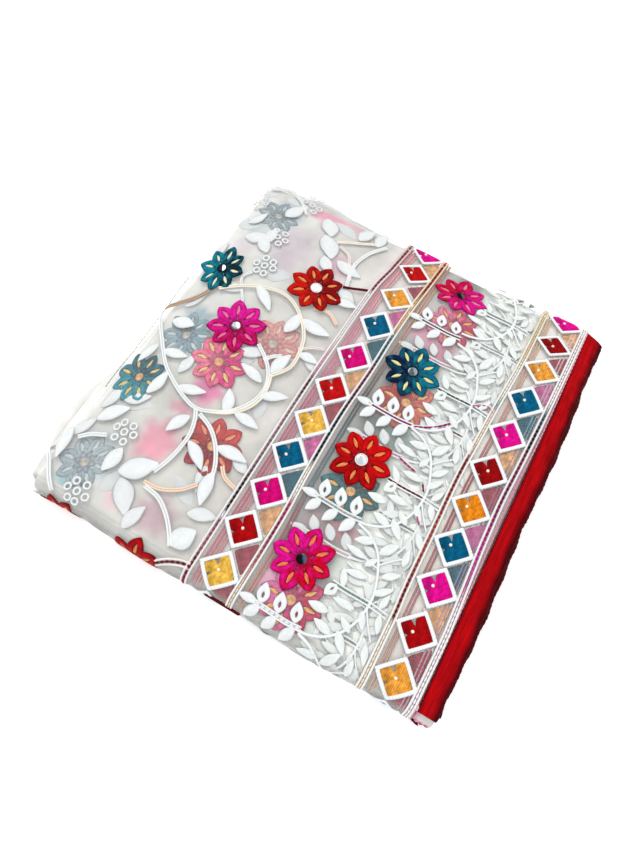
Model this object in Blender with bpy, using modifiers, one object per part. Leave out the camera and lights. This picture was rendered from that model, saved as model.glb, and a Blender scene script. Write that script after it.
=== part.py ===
"""A sheer phulkari shawl folded into a flat square stack, with red edgings along its right side.

Units are metres and +Z is up. The stack lies on z = 0 with the middle of its box at the origin.
+X runs across the embroidered bands towards the red edging, and +Y runs along the bands.
Sizes in plan are first measured from the middle of the top stretch, then moved by PLAN_CENTRE.
"""

from math import cos, exp, hypot, pi, radians, sin, sqrt

import bmesh
import bpy
from mathutils import Vector

# ---- Driving sizes ----
STACK_HEIGHT = 0.020
SHARP_ANGLE = radians(50)
CLOTH_WALL = 0.0010
EDGING_WALL = 0.0014
GAP = 0.0003
TINY = 1e-5
PLAN_CENTRE = (-0.0051, 0.0089)

# The flat part of the top stretch, out to where it begins to turn over at each fold.
FLAT_LEFT = -0.1412
FLAT_FRONT = -0.1330
FLAT_BACK = 0.1530
SEAM_X = 0.1310
SECOND_SHORT = 0.0008

# The folds: how far each reaches outward, its half height, and how far round the cloth goes.
FRONT_FOLD = {"reach": 0.0100, "rise": 0.0100, "turn": radians(150)}
LEFT_FOLD = {"reach": 0.0042, "rise": 0.0034, "turn": radians(150)}
BACK_FOLD = {"reach": 0.0042, "rise": 0.0034, "turn": radians(150)}

# The stack thins towards the left and the back: how far from the middle each slope starts, how far it
# runs, and how deep it is there. Towards the front fold the left slope fades out over the front ease.
LEFT_SAG = {"start": 0.0950, "run": 0.0462, "depth": 0.0045}
BACK_SAG = {"start": 0.0750, "run": 0.0780, "depth": 0.0075}
FRONT_EASE = {"start": 0.0730, "run": 0.0600}
CAP_CUTS = 4

# Grid lines of a stretch.
FOLD_SEGMENTS = 6
FRONT_SEGMENTS = 8
FLAT_SEGMENTS = 15

# Soft ridges of the top: where each begins and ends, its half width and its height.
CREASE_COLUMNS = ("x0", "y0", "x1", "y1", "width", "height")
CREASES = (
    (-0.130, -0.060, -0.060, -0.110, 0.012, 0.0010),
    (-0.125, 0.130, -0.070, 0.060, 0.014, 0.0012),
    (-0.100, -0.020, -0.030, 0.030, 0.016, 0.0007),
    (-0.030, 0.090, -0.012, 0.140, 0.008, 0.0009),
    (0.020, -0.115, 0.090, -0.095, 0.012, 0.0006),
    (0.050, 0.020, 0.110, 0.075, 0.015, 0.0008),
    (0.060, -0.060, 0.120, -0.020, 0.014, 0.0006),
)

# Slow waves of each fold line: length of a wave, its height and where it starts.
FRONT_WAVE = {"length": 0.110, "height": 0.0009, "start": 0.030}
LEFT_WAVE = {"length": 0.150, "height": 0.0011, "start": 0.010}
BACK_BULGE = {"at": -0.090, "spread": 0.048, "reach": 0.0050}

# The hidden layers: the free folds at the left and back, one above another. Each fold runs between
# two notches, and its round takes the middle of its height.
CORE_CLEARANCE = 0.0004
FOLD_CLEARANCE = 0.0014
LEAST_RISE = 0.0001
CORNER_EASE = 0.45
CORNER_DROP = 0.014
CORE_INSET = 2 * (CLOTH_WALL + GAP) + CORE_CLEARANCE
CORE_TOP = STACK_HEIGHT - CORE_INSET
CORE_SHOULDER = STACK_HEIGHT - 2 * LEFT_FOLD["rise"] - 2 * GAP
CORE_RIGHT = SEAM_X - GAP
CORE_FOLDS = 5
SOLE_HEIGHT = 0.0008
FULLNESS = {"least": 0.1, "spread": 0.8}
FOLD_PROFILE = ((0.0, 1.0), (0.25, 0.25), (0.75, 0.25))
FOLD_NOTCH = 0.0020
LEFT_BULGE = {"at": -0.078, "spread": 0.050, "reach": 0.0130}
BACK_FREE_SHARE = 0.4
CORE_SIDE_POINTS = 16
CORNER_POINTS = 5

# The red edgings, top to bottom: how far each reaches from the seam, and where it starts and ends.
EDGING_COLUMNS = ("name", "width", "front", "back", "wave_start")
EDGINGS = (
    ("red_edging_top", 0.0125, -0.1370, 0.1540, 0.000),
    ("red_edging_second", 0.0138, -0.1345, 0.1550, 0.017),
    ("red_edging_third", 0.0128, -0.1335, 0.1532, 0.031),
    ("red_edging_fourth", 0.0142, -0.1335, 0.1554, 0.044),
)
EDGING_WAVES = ({"length": 0.118, "height": 0.0010}, {"length": 0.023, "height": 0.00045})
EDGING_DROOP = {"depth": 0.0022, "starts": 0.005, "over": 0.010}
EDGING_BACK_SLANT = 0.0040
EDGING_SEGMENTS = (4, 28)
EDGING_PITCH = EDGING_WALL + GAP

# The edgings hidden under those four, in one block.
BLOCK_CLEARANCE = 0.0004
BLOCK_TOP = STACK_HEIGHT - len(EDGINGS) * EDGING_PITCH - BLOCK_CLEARANCE
BLOCK_LEFT = SEAM_X
BLOCK_RIGHT = SEAM_X + 0.0085
BLOCK_FRONT = -0.1330
BLOCK_BACK = 0.1520
BLOCK_FOLDS = 4
BLOCK_REACH = 0.0040
BLOCK_NOTCH = 0.0016
BLOCK_SHOULDER = 0.0020
BLOCK_SHOULDER_NOTCH = 3.4
BLOCK_END_REACH = 0.5

# The corner fold, and its edging, which lies on its outer side.
CORNER_LEFT = SEAM_X + 0.0006
CORNER_SPREAD = 0.0109
CORNER_SWELL = {"height": 0.0030, "across": 0.7, "down": 4}
CORNER_FOLD = {"width": CORNER_SPREAD, "inset": 0.0020, "start": radians(25), "end": radians(160)}
CORNER_EDGING = {"width": 0.0052, "inset": 0.0007, "start": radians(92), "end": radians(146)}
CORNER_SEGMENTS = (6, 9)

# ---- Colours: base colour and roughness ----
FINISHES = {
    "organza": ((0.83, 0.82, 0.80, 1.0), 0.45),
    "under_organza": ((0.74, 0.73, 0.72, 1.0), 0.5),
    "folded_organza": ((0.66, 0.65, 0.64, 1.0), 0.6),
    "red_edging": ((0.52, 0.005, 0.02, 1.0), 0.55),
    "red_edging_shade": ((0.33, 0.003, 0.012, 1.0), 0.6),
}


def finish(name):
    """The Principled material of one of the FINISHES, made once."""
    if name in bpy.data.materials:
        return bpy.data.materials[name]
    colour, roughness = FINISHES[name]
    material = bpy.data.materials.new(name)
    material.use_nodes = True
    shader = material.node_tree.nodes["Principled BSDF"]
    shader.inputs["Base Color"].default_value = colour
    shader.inputs["Roughness"].default_value = roughness
    shader.inputs["Metallic"].default_value = 0.0
    return material


def add_object(name, shape, collection, finish_name, wall=0.0):
    """An object from a bmesh measured from the middle of the top stretch.

    A wall above zero gives an open sheet that thickness, inward from the face it was drawn on.
    """
    for vert in shape.verts:
        vert.co.z = sagged(*vert.co)
    bmesh.ops.translate(shape, verts=shape.verts, vec=(-PLAN_CENTRE[0], -PLAN_CENTRE[1], 0))
    bmesh.ops.recalc_face_normals(shape, faces=shape.faces)
    highest = max(shape.faces, key=lambda face: face.calc_center_median().z)
    if highest.normal.z < 0:
        bmesh.ops.reverse_faces(shape, faces=shape.faces)
    mesh = bpy.data.meshes.new(name)
    shape.to_mesh(mesh)
    shape.free()
    mesh.shade_smooth()
    mesh.set_sharp_from_angle(angle=SHARP_ANGLE)
    mesh.materials.append(finish(finish_name))
    made = bpy.data.objects.new(name, mesh)
    collection.objects.link(made)
    if wall > 0:
        solidify = made.modifiers.new("Wall", "SOLIDIFY")
        solidify.thickness = wall
        solidify.offset = -1
        solidify.use_even_offset = True


# ---- The form of the stack ----
def eased(share):
    """A soft step from 0 to 1 as share goes from 0 to 1."""
    return sin(pi / 2 * min(max(share, 0.0), 1.0)) ** 2


def slope_depth(reach, sag):
    """How far a slope has come down at a reach towards its fold line."""
    return sag["depth"] * eased((reach - sag["start"]) / sag["run"])


def sagged(x, y, z):
    """The height of a point of the even stack once its hidden layers have settled at the left and back."""
    left_depth = slope_depth(-x, LEFT_SAG) * eased((y - FLAT_FRONT) / FRONT_EASE["run"])
    depth = hypot(left_depth, slope_depth(y, BACK_SAG))
    return z - depth * min(z / CORE_SHOULDER, 1.0)


def crease_height(x, y):
    """How far the soft ridges lift the top at a place in plan."""
    lift = 0.0
    for row in CREASES:
        crease = dict(zip(CREASE_COLUMNS, row))
        along_x = crease["x1"] - crease["x0"]
        along_y = crease["y1"] - crease["y0"]
        length = hypot(along_x, along_y)
        share = ((x - crease["x0"]) * along_x + (y - crease["y0"]) * along_y) / length**2
        nearest = min(max(share, 0.0), 1.0)
        off = hypot(x - crease["x0"] - nearest * along_x, y - crease["y0"] - nearest * along_y)
        lift += crease["height"] * exp(-((off / crease["width"]) ** 2))
    return lift


def bell(place, swell):
    """A smooth swelling: reach at its middle, fading over its spread."""
    return swell["reach"] * exp(-(((place - swell["at"]) / swell["spread"]) ** 2))


def wave(place, rule):
    """A slow wave along a fold line."""
    return rule["height"] * sin(2 * pi * (place - rule["start"]) / rule["length"])


def fold_shift(x, y, left_share, front_share, back_share):
    """How far a fold line wanders outward, blended round the corners."""
    shift_x = -left_share * wave(y, LEFT_WAVE)
    shift_y = -front_share * wave(x, FRONT_WAVE) + back_share * bell(x, BACK_BULGE)
    return shift_x, shift_y


def blended_fold(left, front, back):
    """The fold in a direction between two sides: the sides' sizes in shares that add up to one."""
    folds = ((left, LEFT_FOLD), (front, FRONT_FOLD), (back, BACK_FOLD))
    return {key: sum(share * fold[key] for share, fold in folds) for key in ("reach", "rise", "turn")}


def stretch_point(across, along, inset):
    """A point of the surface that lies inset below the outer one.

    across holds x and how much of the left fold's turn is done, from 0 to 1. along holds y and the
    same for the front and back folds.
    """
    x, left_turn = across
    y, front_turn, back_turn = along
    turned = max(left_turn, front_turn, back_turn)
    if turned == 0.0:
        return x, y, STACK_HEIGHT - inset + crease_height(x, y)
    size = hypot(left_turn, front_turn + back_turn)
    left, front, back = left_turn / size, front_turn / size, back_turn / size
    fold = blended_fold(left**2, front**2, back**2)
    angle = turned * fold["turn"]
    rise = fold["rise"] - inset
    reach = (fold["reach"] - inset) * sin(angle)
    shift_x, shift_y = fold_shift(x, y, left**2, front**2, back**2)
    x_out = x - left * reach + shift_x * sin(angle)
    y_out = y + (back - front) * reach + shift_y * sin(angle)
    lift = crease_height(x, y) * cos(angle / 2) ** 2
    return x_out, y_out, STACK_HEIGHT - inset - rise * (1 - cos(angle)) + lift


def across_station(index, right):
    """The x and the turn round the left fold of a grid line, counted from the left."""
    if index < FOLD_SEGMENTS:
        return FLAT_LEFT, 1 - index / FOLD_SEGMENTS
    share = (index - FOLD_SEGMENTS) / FLAT_SEGMENTS
    return FLAT_LEFT + share * (right - FLAT_LEFT), 0.0


def along_station(index):
    """The y and the turns round the front and back folds of a grid line, from the front."""
    if index < FRONT_SEGMENTS:
        return FLAT_FRONT, 1 - index / FRONT_SEGMENTS, 0.0
    flat = index - FRONT_SEGMENTS
    if flat <= FLAT_SEGMENTS:
        return FLAT_FRONT + flat / FLAT_SEGMENTS * (FLAT_BACK - FLAT_FRONT), 0.0, 0.0
    return FLAT_BACK, 0.0, (flat - FLAT_SEGMENTS) / FOLD_SEGMENTS


def grid_sheet(columns, rows, place):
    """A grid whose points are put in place by their column and row numbers."""
    sheet = bmesh.new()
    bmesh.ops.create_grid(sheet, x_segments=columns, y_segments=rows, size=1.0)
    for vert in sheet.verts:
        column = round((vert.co.x + 1) / 2 * columns)
        row = round((vert.co.y + 1) / 2 * rows)
        vert.co = place(column, row)
    return sheet


def open_corners(sheet):
    """Cuts away the two left corners of an under stretch, where the top one turns both ways."""
    low, high = FLAT_FRONT + TINY, FLAT_BACK - TINY
    cut = []
    for face in sheet.faces:
        middle = face.calc_center_median()
        if middle.x < FLAT_LEFT and not low < middle.y < high:
            cut.append(face)
    bmesh.ops.delete(sheet, geom=cut, context="FACES")


def add_stretch(name, inset, right, collection, finish_name):
    """One stretch of the ground, over the top and round the front, left and back folds."""
    columns = FOLD_SEGMENTS + FLAT_SEGMENTS
    rows = FRONT_SEGMENTS + FLAT_SEGMENTS + FOLD_SEGMENTS

    def place(column, row):
        return stretch_point(across_station(column, right), along_station(row), inset)

    sheet = grid_sheet(columns, rows, place)
    if inset > 0:
        open_corners(sheet)
    add_object(name, sheet, collection, finish_name, CLOTH_WALL)


# ---- Blocks of hidden layers ----
def ring_stations(left, right, front, back):
    """Points round a rectangle in plan, each with its outward direction, turning at the corners."""
    corners = (
        (right, front, -90),
        (right, back, 0),
        (left, back, 90),
        (left, front, 180),
    )
    stations = []
    for number, (x, y, start) in enumerate(corners):
        for step in range(CORNER_POINTS):
            angle = radians(start + 90 * step / (CORNER_POINTS - 1))
            stations.append((x, y, cos(angle), sin(angle)))
        next_x, next_y, _ = corners[(number + 1) % len(corners)]
        angle = radians(start + 90)
        for step in range(1, CORE_SIDE_POINTS):
            share = step / CORE_SIDE_POINTS
            here = (x + share * (next_x - x), y + share * (next_y - y))
            stations.append((*here, cos(angle), sin(angle)))
    return stations


def fold_levels(low, high, folds):
    """Heights up a stack of folds, each with its notch share: 1 between two folds, 0 at the round."""
    levels = []
    for fold in range(folds):
        for share, notch in FOLD_PROFILE:
            levels.append((low + (fold + share) / folds * (high - low), notch))
    levels.append((high, 1.0))
    return levels


def loft_rings(rings):
    """A closed body through rings of equal count, capped flat below and above."""
    body = bmesh.new()
    edges = []
    for ring in rings:
        verts = [body.verts.new(point) for point in ring]
        edges += [body.edges.new((verts[i - 1], verts[i])) for i in range(len(verts))]
    count = len(rings[0])
    for level in range(len(rings) - 1):
        pair = edges[level * count : (level + 2) * count]
        bmesh.ops.bridge_loops(body, edges=pair)
    bmesh.ops.holes_fill(body, edges=[edge for edge in body.edges if len(edge.link_faces) < 2])
    cut_cap(body)
    return body


def cut_cap(body):
    """Cuts a body's upper cap into strips and squares where the stack slopes, so that it can follow."""
    for axis, side, sag in ((0, -1, LEFT_SAG), (1, 1, BACK_SAG), (1, -1, FRONT_EASE)):
        for cut in range(CAP_CUTS):
            place = Vector((0, 0, 0))
            place[axis] = side * (sag["start"] + cut / CAP_CUTS * sag["run"])
            across = Vector((0, 0, 0))
            across[axis] = 1
            top = max(vert.co.z for vert in body.verts)
            faces = [face for face in body.faces if face.calc_center_median().z > top - TINY]
            cap = {*faces, *(edge for face in faces for edge in face.edges)}
            cap |= {vert for face in faces for vert in face.verts}
            bmesh.ops.bisect_plane(body, geom=list(cap), dist=TINY, plane_co=place, plane_no=across)


def fold_shares(out_x, out_y):
    """How much of the left, front and back folds a direction in plan holds; none at the right."""
    if out_x > 0:
        return 0.0, float(out_y < -TINY), float(out_y > TINY)
    return out_x**2, max(-out_y, 0.0) ** 2, max(out_y, 0.0) ** 2


def core_reach(x, y, shares, height, notch):
    """How far the hidden layers reach outward at a height: inside the two stretches, free below."""
    left, front, back = shares
    fold = blended_fold(*shares)
    rise = max(fold["rise"] - CORE_INSET, LEAST_RISE)
    above = height - STACK_HEIGHT + fold["rise"]
    if above > -rise:
        ease = 1 - CORNER_EASE * 4 * left * (front + back)
        return ease * max(fold["reach"] - CORE_INSET, 0.0) * sqrt(max(1 - (above / rise) ** 2, 0.0))
    shoulder = STACK_HEIGHT - 2 * fold["rise"] - 2 * GAP - CORNER_DROP * left * front
    if height >= shoulder:
        return 0.0
    fullness = sin(pi * (FULLNESS["least"] + FULLNESS["spread"] * height / CORE_SHOULDER))
    free = left * (LEFT_FOLD["reach"] + bell(y, LEFT_BULGE) * fullness)
    free += back * (BACK_FOLD["reach"] + bell(x, BACK_BULGE) * fullness * BACK_FREE_SHARE)
    return max(free - FOLD_NOTCH * notch, 0.0)


def add_folded_layers(collection):
    """All the hidden layers: one body, flat below, with free folds at the left and the back."""
    levels = [(0.0, 1.0)] + fold_levels(SOLE_HEIGHT, CORE_SHOULDER - GAP, CORE_FOLDS)
    levels += [(CORE_SHOULDER, 0.0), ((CORE_SHOULDER + CORE_TOP) / 2, 0.0), (CORE_TOP, 0.0)]
    stations = ring_stations(FLAT_LEFT + FOLD_CLEARANCE, CORE_RIGHT, FLAT_FRONT, FLAT_BACK - FOLD_CLEARANCE)
    rings = []
    for height, notch in levels:
        ring = []
        for x, y, out_x, out_y in stations:
            shares = fold_shares(out_x, out_y)
            reach = core_reach(x, y, shares, height, notch)
            shift_x, shift_y = fold_shift(x, y, *shares)
            swing = min(reach / FRONT_FOLD["reach"], 1.0)
            x_out = x + min(out_x, 0.0) * reach + shift_x * swing
            ring.append((x_out, y + out_y * reach + shift_y * swing, height))
        rings.append(ring)
    add_object("folded_layers", loft_rings(rings), collection, "folded_organza")


# ---- The red edgings ----
def edging_edge(y, start):
    """The wandering of an edging's outer edge along its length."""
    return sum(rule["height"] * sin(2 * pi * (y - start) / rule["length"]) for rule in EDGING_WAVES)


def edging_droop(x):
    """How far an edging hangs down at a place across it."""
    share = max((x - SEAM_X - EDGING_DROOP["starts"]) / EDGING_DROOP["over"], 0.0)
    return EDGING_DROOP["depth"] * share**2


def add_edging(row, order, collection):
    """One red edging, beside the seam and drooping at its outer edge."""
    edging = dict(zip(EDGING_COLUMNS, row))
    columns, rows = EDGING_SEGMENTS
    top = STACK_HEIGHT - order * EDGING_PITCH

    def place(column, line):
        share = column / columns
        back = edging["back"] - share * EDGING_BACK_SLANT
        y = edging["front"] + line / rows * (back - edging["front"])
        width = edging["width"] + edging_edge(y, edging["wave_start"])
        x = SEAM_X + GAP + share * width
        return x, y, top - edging_droop(x)

    sheet = grid_sheet(columns, rows, place)
    add_object(edging["name"], sheet, collection, "red_edging", EDGING_WALL)


def add_folded_edgings(collection):
    """The hidden edgings: one block, layered on its right side, flat below."""
    stations = ring_stations(BLOCK_LEFT, BLOCK_RIGHT, BLOCK_FRONT, BLOCK_BACK)
    levels = [(0.0, 1.0)] + fold_levels(SOLE_HEIGHT, BLOCK_TOP - BLOCK_SHOULDER, BLOCK_FOLDS)
    levels.append((BLOCK_TOP, BLOCK_SHOULDER_NOTCH))
    rings = []
    for height, notch in levels:
        ring = []
        for x, y, out_x, out_y in stations:
            reach = max(out_x, 0.0) * (BLOCK_REACH - BLOCK_NOTCH * notch + edging_edge(y, height))
            ring.append((x + out_x * reach, y + out_y * reach * BLOCK_END_REACH, height))
        rings.append(ring)
    add_object("folded_edgings", loft_rings(rings), collection, "red_edging_shade")


# ---- The corner fold ----
def add_corner_sheet(name, sizes, collection, finish_name):
    """A stretch of a lower layer that turns over at the front, just right of the seam."""
    columns, rows = CORNER_SEGMENTS
    radius = FRONT_FOLD["rise"] - sizes["inset"]

    def place(column, row):
        from_seam = column / columns * sizes["width"]
        angle = sizes["start"] + row / rows * (sizes["end"] - sizes["start"])
        swell = CORNER_SWELL["height"] * sin(pi * from_seam / CORNER_SPREAD) ** CORNER_SWELL["across"]
        swell *= sin(angle / 2) ** CORNER_SWELL["down"]
        y = FLAT_FRONT - (radius + swell) * sin(angle)
        return CORNER_LEFT + from_seam, y, FRONT_FOLD["rise"] + radius * cos(angle)

    add_object(name, grid_sheet(columns, rows, place), collection, finish_name, CLOTH_WALL)


def clear_scene():
    """Takes every object out of the scene."""
    for old in list(bpy.data.objects):
        bpy.data.objects.remove(old, do_unlink=True)


def main():
    """Builds the folded shawl, layer by layer."""
    clear_scene()
    shawl = bpy.data.collections.new("phulkari_shawl")
    bpy.context.scene.collection.children.link(shawl)
    add_stretch("top_stretch", 0.0, SEAM_X, shawl, "organza")
    add_stretch("second_stretch", CLOTH_WALL + GAP, SEAM_X - SECOND_SHORT, shawl, "under_organza")
    add_folded_layers(shawl)
    for order, row in enumerate(EDGINGS):
        add_edging(row, order, shawl)
    add_folded_edgings(shawl)
    add_corner_sheet("corner_fold", CORNER_FOLD, shawl, "organza")
    add_corner_sheet("corner_edging", CORNER_EDGING, shawl, "red_edging_shade")


main()
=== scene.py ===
"""The looks of a sheer phulkari shawl, folded flat: organza, floss, mirrors and red edgings.

Tables are in millimetres, measured from the middle of the top stretch: x runs across the embroidered
bands towards the red edging, y runs along them. A place on the cloth is (a, b): the same as (x, y) on
the flat, and going on round each fold past its fold line. Meshes are made in metres in the CAD frame.
"""

from math import ceil, cos, pi, radians, sin

import bmesh
import bpy
import numpy as np
from mathutils import Matrix, Vector


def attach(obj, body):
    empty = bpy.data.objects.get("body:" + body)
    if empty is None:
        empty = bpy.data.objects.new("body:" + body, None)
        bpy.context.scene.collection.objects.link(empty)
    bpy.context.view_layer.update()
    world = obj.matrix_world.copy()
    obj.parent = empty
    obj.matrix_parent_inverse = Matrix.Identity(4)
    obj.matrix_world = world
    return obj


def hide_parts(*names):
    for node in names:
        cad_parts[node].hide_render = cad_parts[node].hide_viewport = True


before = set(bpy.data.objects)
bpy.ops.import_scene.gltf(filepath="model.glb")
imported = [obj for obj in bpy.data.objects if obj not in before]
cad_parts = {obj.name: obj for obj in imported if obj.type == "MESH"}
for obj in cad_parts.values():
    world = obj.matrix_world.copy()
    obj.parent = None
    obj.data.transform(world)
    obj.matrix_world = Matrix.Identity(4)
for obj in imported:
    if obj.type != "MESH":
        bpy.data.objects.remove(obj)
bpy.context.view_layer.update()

bl_info = {
    "name": "Folded phulkari shawl",
    "version": (1, 0, 0),
    "blender": (4, 5, 0),
    "location": "3D View > Sidebar > Shawl",
    "description": "Dresses the folded shawl: sheer cloth, embroidery, mirrors, edgings and studio",
    "category": "Object",
}

MM = 0.001

# ---- The stack's form, as in the CAD ----
PLAN_CENTRE = (-5.1, 8.9)
STACK_HEIGHT = 20.0
FLAT_LEFT = -141.2
FLAT_FRONT = -133.0
FLAT_BACK = 153.0
SEAM_X = 131.0
FRONT_FOLD = {"reach": 10.0, "rise": 10.0, "arc": 26.2}
LEFT_FOLD = {"reach": 4.2, "rise": 3.4, "arc": 10.0}
BACK_FOLD = {"reach": 4.2, "rise": 3.4, "arc": 10.0}
FOLD_TURN = radians(150)
LEFT_SAG = {"start": 95.0, "run": 46.2, "depth": 4.5}
BACK_SAG = {"start": 75.0, "run": 78.0, "depth": 7.5}
FRONT_EASE = 60.0
FRONT_WAVE = {"length": 110.0, "height": 0.9, "start": 30.0}
LEFT_WAVE = {"length": 150.0, "height": 1.1, "start": 10.0}
BACK_BULGE = {"at": -90.0, "spread": 48.0, "reach": 5.0}
LEFT_BULGE = {"at": -78.0, "spread": 50.0, "reach": 13.0}
LEFT_SQUEEZE = {"start": 98.0, "run": 44.0, "depth": 0.3}
BACK_SQUEEZE = {"start": 70.0, "run": 82.0, "depth": 0.3}
CORE_SHOULDER = 12.6
SECOND_INSET = 1.3
CORE_INSET = 3.0
# The place that the layout is seen from.
VIEW_POINT = (57.6, -151.1, 393.7)

# The largest creases, as in the CAD, then the fine ones that only the thin cloth shows. Each has the two
# ends of its line, x and y, its width and its height.
LARGE_CREASES = (
    (-130, -60, -60, -110, 12, 1.0), (-125, 130, -70, 60, 14, 1.2), (-100, -20, -30, 30, 16, 0.7),
    (-30, 90, -12, 140, 8, 0.9), (20, -115, 90, -95, 12, 0.6), (50, 20, 110, 75, 15, 0.8),
    (60, -60, 120, -20, 14, 0.6),
)
FINE_CREASES = (
    (-138, -70, -112, -96, 3.0, 0.6), (-136, -100, -92, -128, 3.6, 0.5), (-141, -20, -128, -60, 2.6, 0.6),
    (-120, 112, -84, 90, 3.4, 0.5), (-104, 140, -70, 118, 3.0, 0.6), (-66, 138, -40, 116, 3.2, 0.5),
    (-96, -62, -84, -92, 3.0, -0.3), (-48, 22, -30, -8, 3.4, 0.4), (-70, -112, -36, -118, 3.2, 0.4),
    (-54, 70, -30, 60, 3.0, 0.4), (58, 141, 96, 138, 2.6, 0.6), (54, 131, 90, 129, 2.4, 0.6),
    (60, 121, 95, 120, 2.8, 0.5), (56, 110, 92, 112, 2.4, 0.6), (60, 88, 94, 91, 2.6, 0.5),
    (58, 76, 88, 73, 2.6, 0.4), (62, -32, 94, -30, 2.8, 0.4), (62, -78, 92, -83, 3.0, 0.4),
    (132, -20, 129, 60, 2.6, 0.5),
)

# How finely a sheer stretch is meshed, and how far round its left, front and back folds it goes.
SECOND_MESH = {"step": 2.6, "arcs": (0.0, 26.2, 9.9)}
TOP_MESH = {"step": 1.75, "arcs": (9.9, 26.2, 9.9)}

# The tint of the hidden layers across the shawl, where the bands and the leaf strip lie one on another,
# with painted shade between the layers: greys, darkest under the sprigs and flowers of the strip.
STACK_TINTS_AND_SHADE = (
    (-150, "#D5D5D0"), (-100, "#CACAC4"), (-60, "#CBC9C2"), (-29, "#C8C5C0"), (-22, "#E0D9D7"),
    (-8, "#D7CFCD"), (8, "#BFB7B3"), (13, "#9C9A95"), (22, "#606463"), (46, "#6A706C"), (56, "#E0E7DE"),
    (62, "#FAFDF6"), (90, "#F8FBF2"), (95, "#E0E0D7"), (100, "#E0DAD1"), (112, "#DAD3CF"), (124, "#CCB9BD"),
    (131, "#CAAAB2"),
)

# ---- Colours and spacings of the band cords, along y ----
BAND_CORDS = (
    {
        "path": ((-14, 152), (-18, 122), (-22, 97), (-24, 40), (-25, 0), (-25, -60), (-25, -158)),
        "dye": ((150, "#7A1F2B"), (99, "#7A1F2B"), (94, "#F1EEEC"), (52, "#F1EEEC"), (36, "#D89AB4"),
                (18, "#C88CA4"), (12, "#4A1A26"), (2, "#4A1A26"), (-6, "#8A6470"), (-50, "#8A5C6C"),
                (-68, "#5A3440"), (-73, "#1E0C12"), (-93, "#1E0C12"), (-95, "#E4E2EE"), (-98, "#E4E2EE"),
                (-101, "#8A4A5A"), (-122, "#9A5060"), (-127, "#5A1824"), (-150, "#A01830")),
        "sides": ((150, "#D9B7B4"), (100, "#EBE3E2"), (0, "#F2F0EF"), (-150, "#F0ECEA")),
    },
    {
        "path": ((15, 152), (12.5, 125), (10, 100), (8.5, 70), (8, 40), (6, 0), (6.5, -45), (8, -85),
                 (7, -158)),
        "dye": ((150, "#951A20"), (118, "#8A1A22"), (104, "#E2C196"), (82, "#E6B486"), (70, "#1B7380"),
                (50, "#28525E"), (40, "#7A1440"), (18, "#5A1838"), (2, "#0F2740"), (-36, "#0E2030"),
                (-44, "#F2E8D8"), (-62, "#F4F0E8"), (-70, "#B82060"), (-90, "#8A1440"), (-112, "#B0606A"),
                (-130, "#EBD9BE"), (-150, "#E8D4B8")),
        "sides": ((150, "#E9C7A6"), (104, "#F0DCC0"), (60, "#EFEFEE"), (-150, "#F2F0EC")),
    },
    {
        "path": ((97, 152), (97, 100), (95, 60), (94, 30), (93, 0), (94, -40), (95, -80), (96, -100),
                 (97, -158)),
        "dye": ((150, "#DCC79E"), (108, "#D9BF94"), (94, "#F2EFEA"), (70, "#F0EFEC"), (60, "#6FA6A8"),
                (52, "#F0D6CE"), (30, "#EEDBBE"), (14, "#7A1420"), (-20, "#8E1A28"), (-45, "#B0403A"),
                (-80, "#7A0F18"), (-98, "#6A0D14"), (-103, "#F0E6D8"), (-150, "#EFE0C6")),
        "sides": ((150, "#E8DAC0"), (100, "#EFE8DA"), (30, "#F2EFEA"), (-150, "#F3F0EA")),
    },
    {
        "path": ((127, 154), (127, 110), (126.5, 70), (125.5, 30), (124.5, 0), (125, -30), (126, -50),
                 (127.5, -80), (128, -100), (127, -158)),
        "dye": ((150, "#F0EEEC"), (82, "#F2F0EE"), (70, "#1F5A66"), (57, "#12222C"), (44, "#10202A"),
                (32, "#7A1838"), (2, "#6A1A4A"), (-20, "#A01868"), (-42, "#C8209A"), (-60, "#C060A0"),
                (-78, "#F2EEF0"), (-150, "#F4F2F2")),
        "sides": ((150, "#F0EAE8"), (-150, "#F2EFF0")),
    },
    {
        "path": ((-24, -133.5), (-30, -134.4), (-36, -136.6), (-41, -139.4), (-46, -143.5)),
        "dye": ((-133, "#6A1C28"), (-144, "#6A1C28")),
        "sides": ((-133, "#F4EAE8"), (-144, "#F4EAE8")),
    },
)
MARGIN_CORD = {"path": ((129.6, 150), (130, 60), (128.8, 0), (129.8, -70), (129.6, -146)),
               "dye": ((150, "#E2A9B4"), (0, "#DE94A8"), (-137, "#E4B4BC"))}
UNDER_CORDS = (
    {"path": ((-10, 152), (-15, 118), (-17.5, 97), (-18.5, 40), (-19, 0), (-19, -158)),
     "dye": ((150, "#D87C84"), (90, "#DC8C9C"), (30, "#D47C98"), (0, "#C0607C"), (-60, "#B8586C"),
             (-150, "#C88088"))},
    {"path": ((-7, 152), (-12, 118), (-14, 97), (-14.5, 40), (-15, 0), (-15, -158)),
     "dye": ((150, "#E0989C"), (90, "#DFA0AC"), (0, "#C47088"), (-150, "#CE9490"))},
    {"path": ((18, 152), (16, 100), (14.5, 60), (13.5, 30), (12.5, 0), (13, -60), (14.5, -90), (13, -158)),
     "dye": ((150, "#B87868"), (100, "#D8A488"), (62, "#9C8078"), (30, "#5C5450"), (0, "#40545A"),
             (-50, "#5E7880"), (-80, "#9C5058"), (-110, "#C08078"), (-150, "#C8A488"))},
    {"path": ((102, 152), (102.5, 60), (101, 0), (102, -70), (103, -158)),
     "dye": ((150, "#D8B890"), (60, "#C89080"), (0, "#98404C"), (-90, "#B07070"), (-150, "#D8B8A0"))},
    {"path": ((121.5, 152), (121, 60), (120, 0), (121.5, -70), (123.5, -158)),
     "dye": ((150, "#E0C8C4"), (60, "#7E98A0"), (0, "#8C6478"), (-60, "#907C94"), (-150, "#C0A4B0"))},
)
# A side cord's distance from the middle and its width, the middle cord's width, and their height and link.
CORD_GAUGE = (1.6, 1.7, 1.45, 0.7, 2.6)
STITCH = {"length": 3.4, "gap": 0.22}

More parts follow.
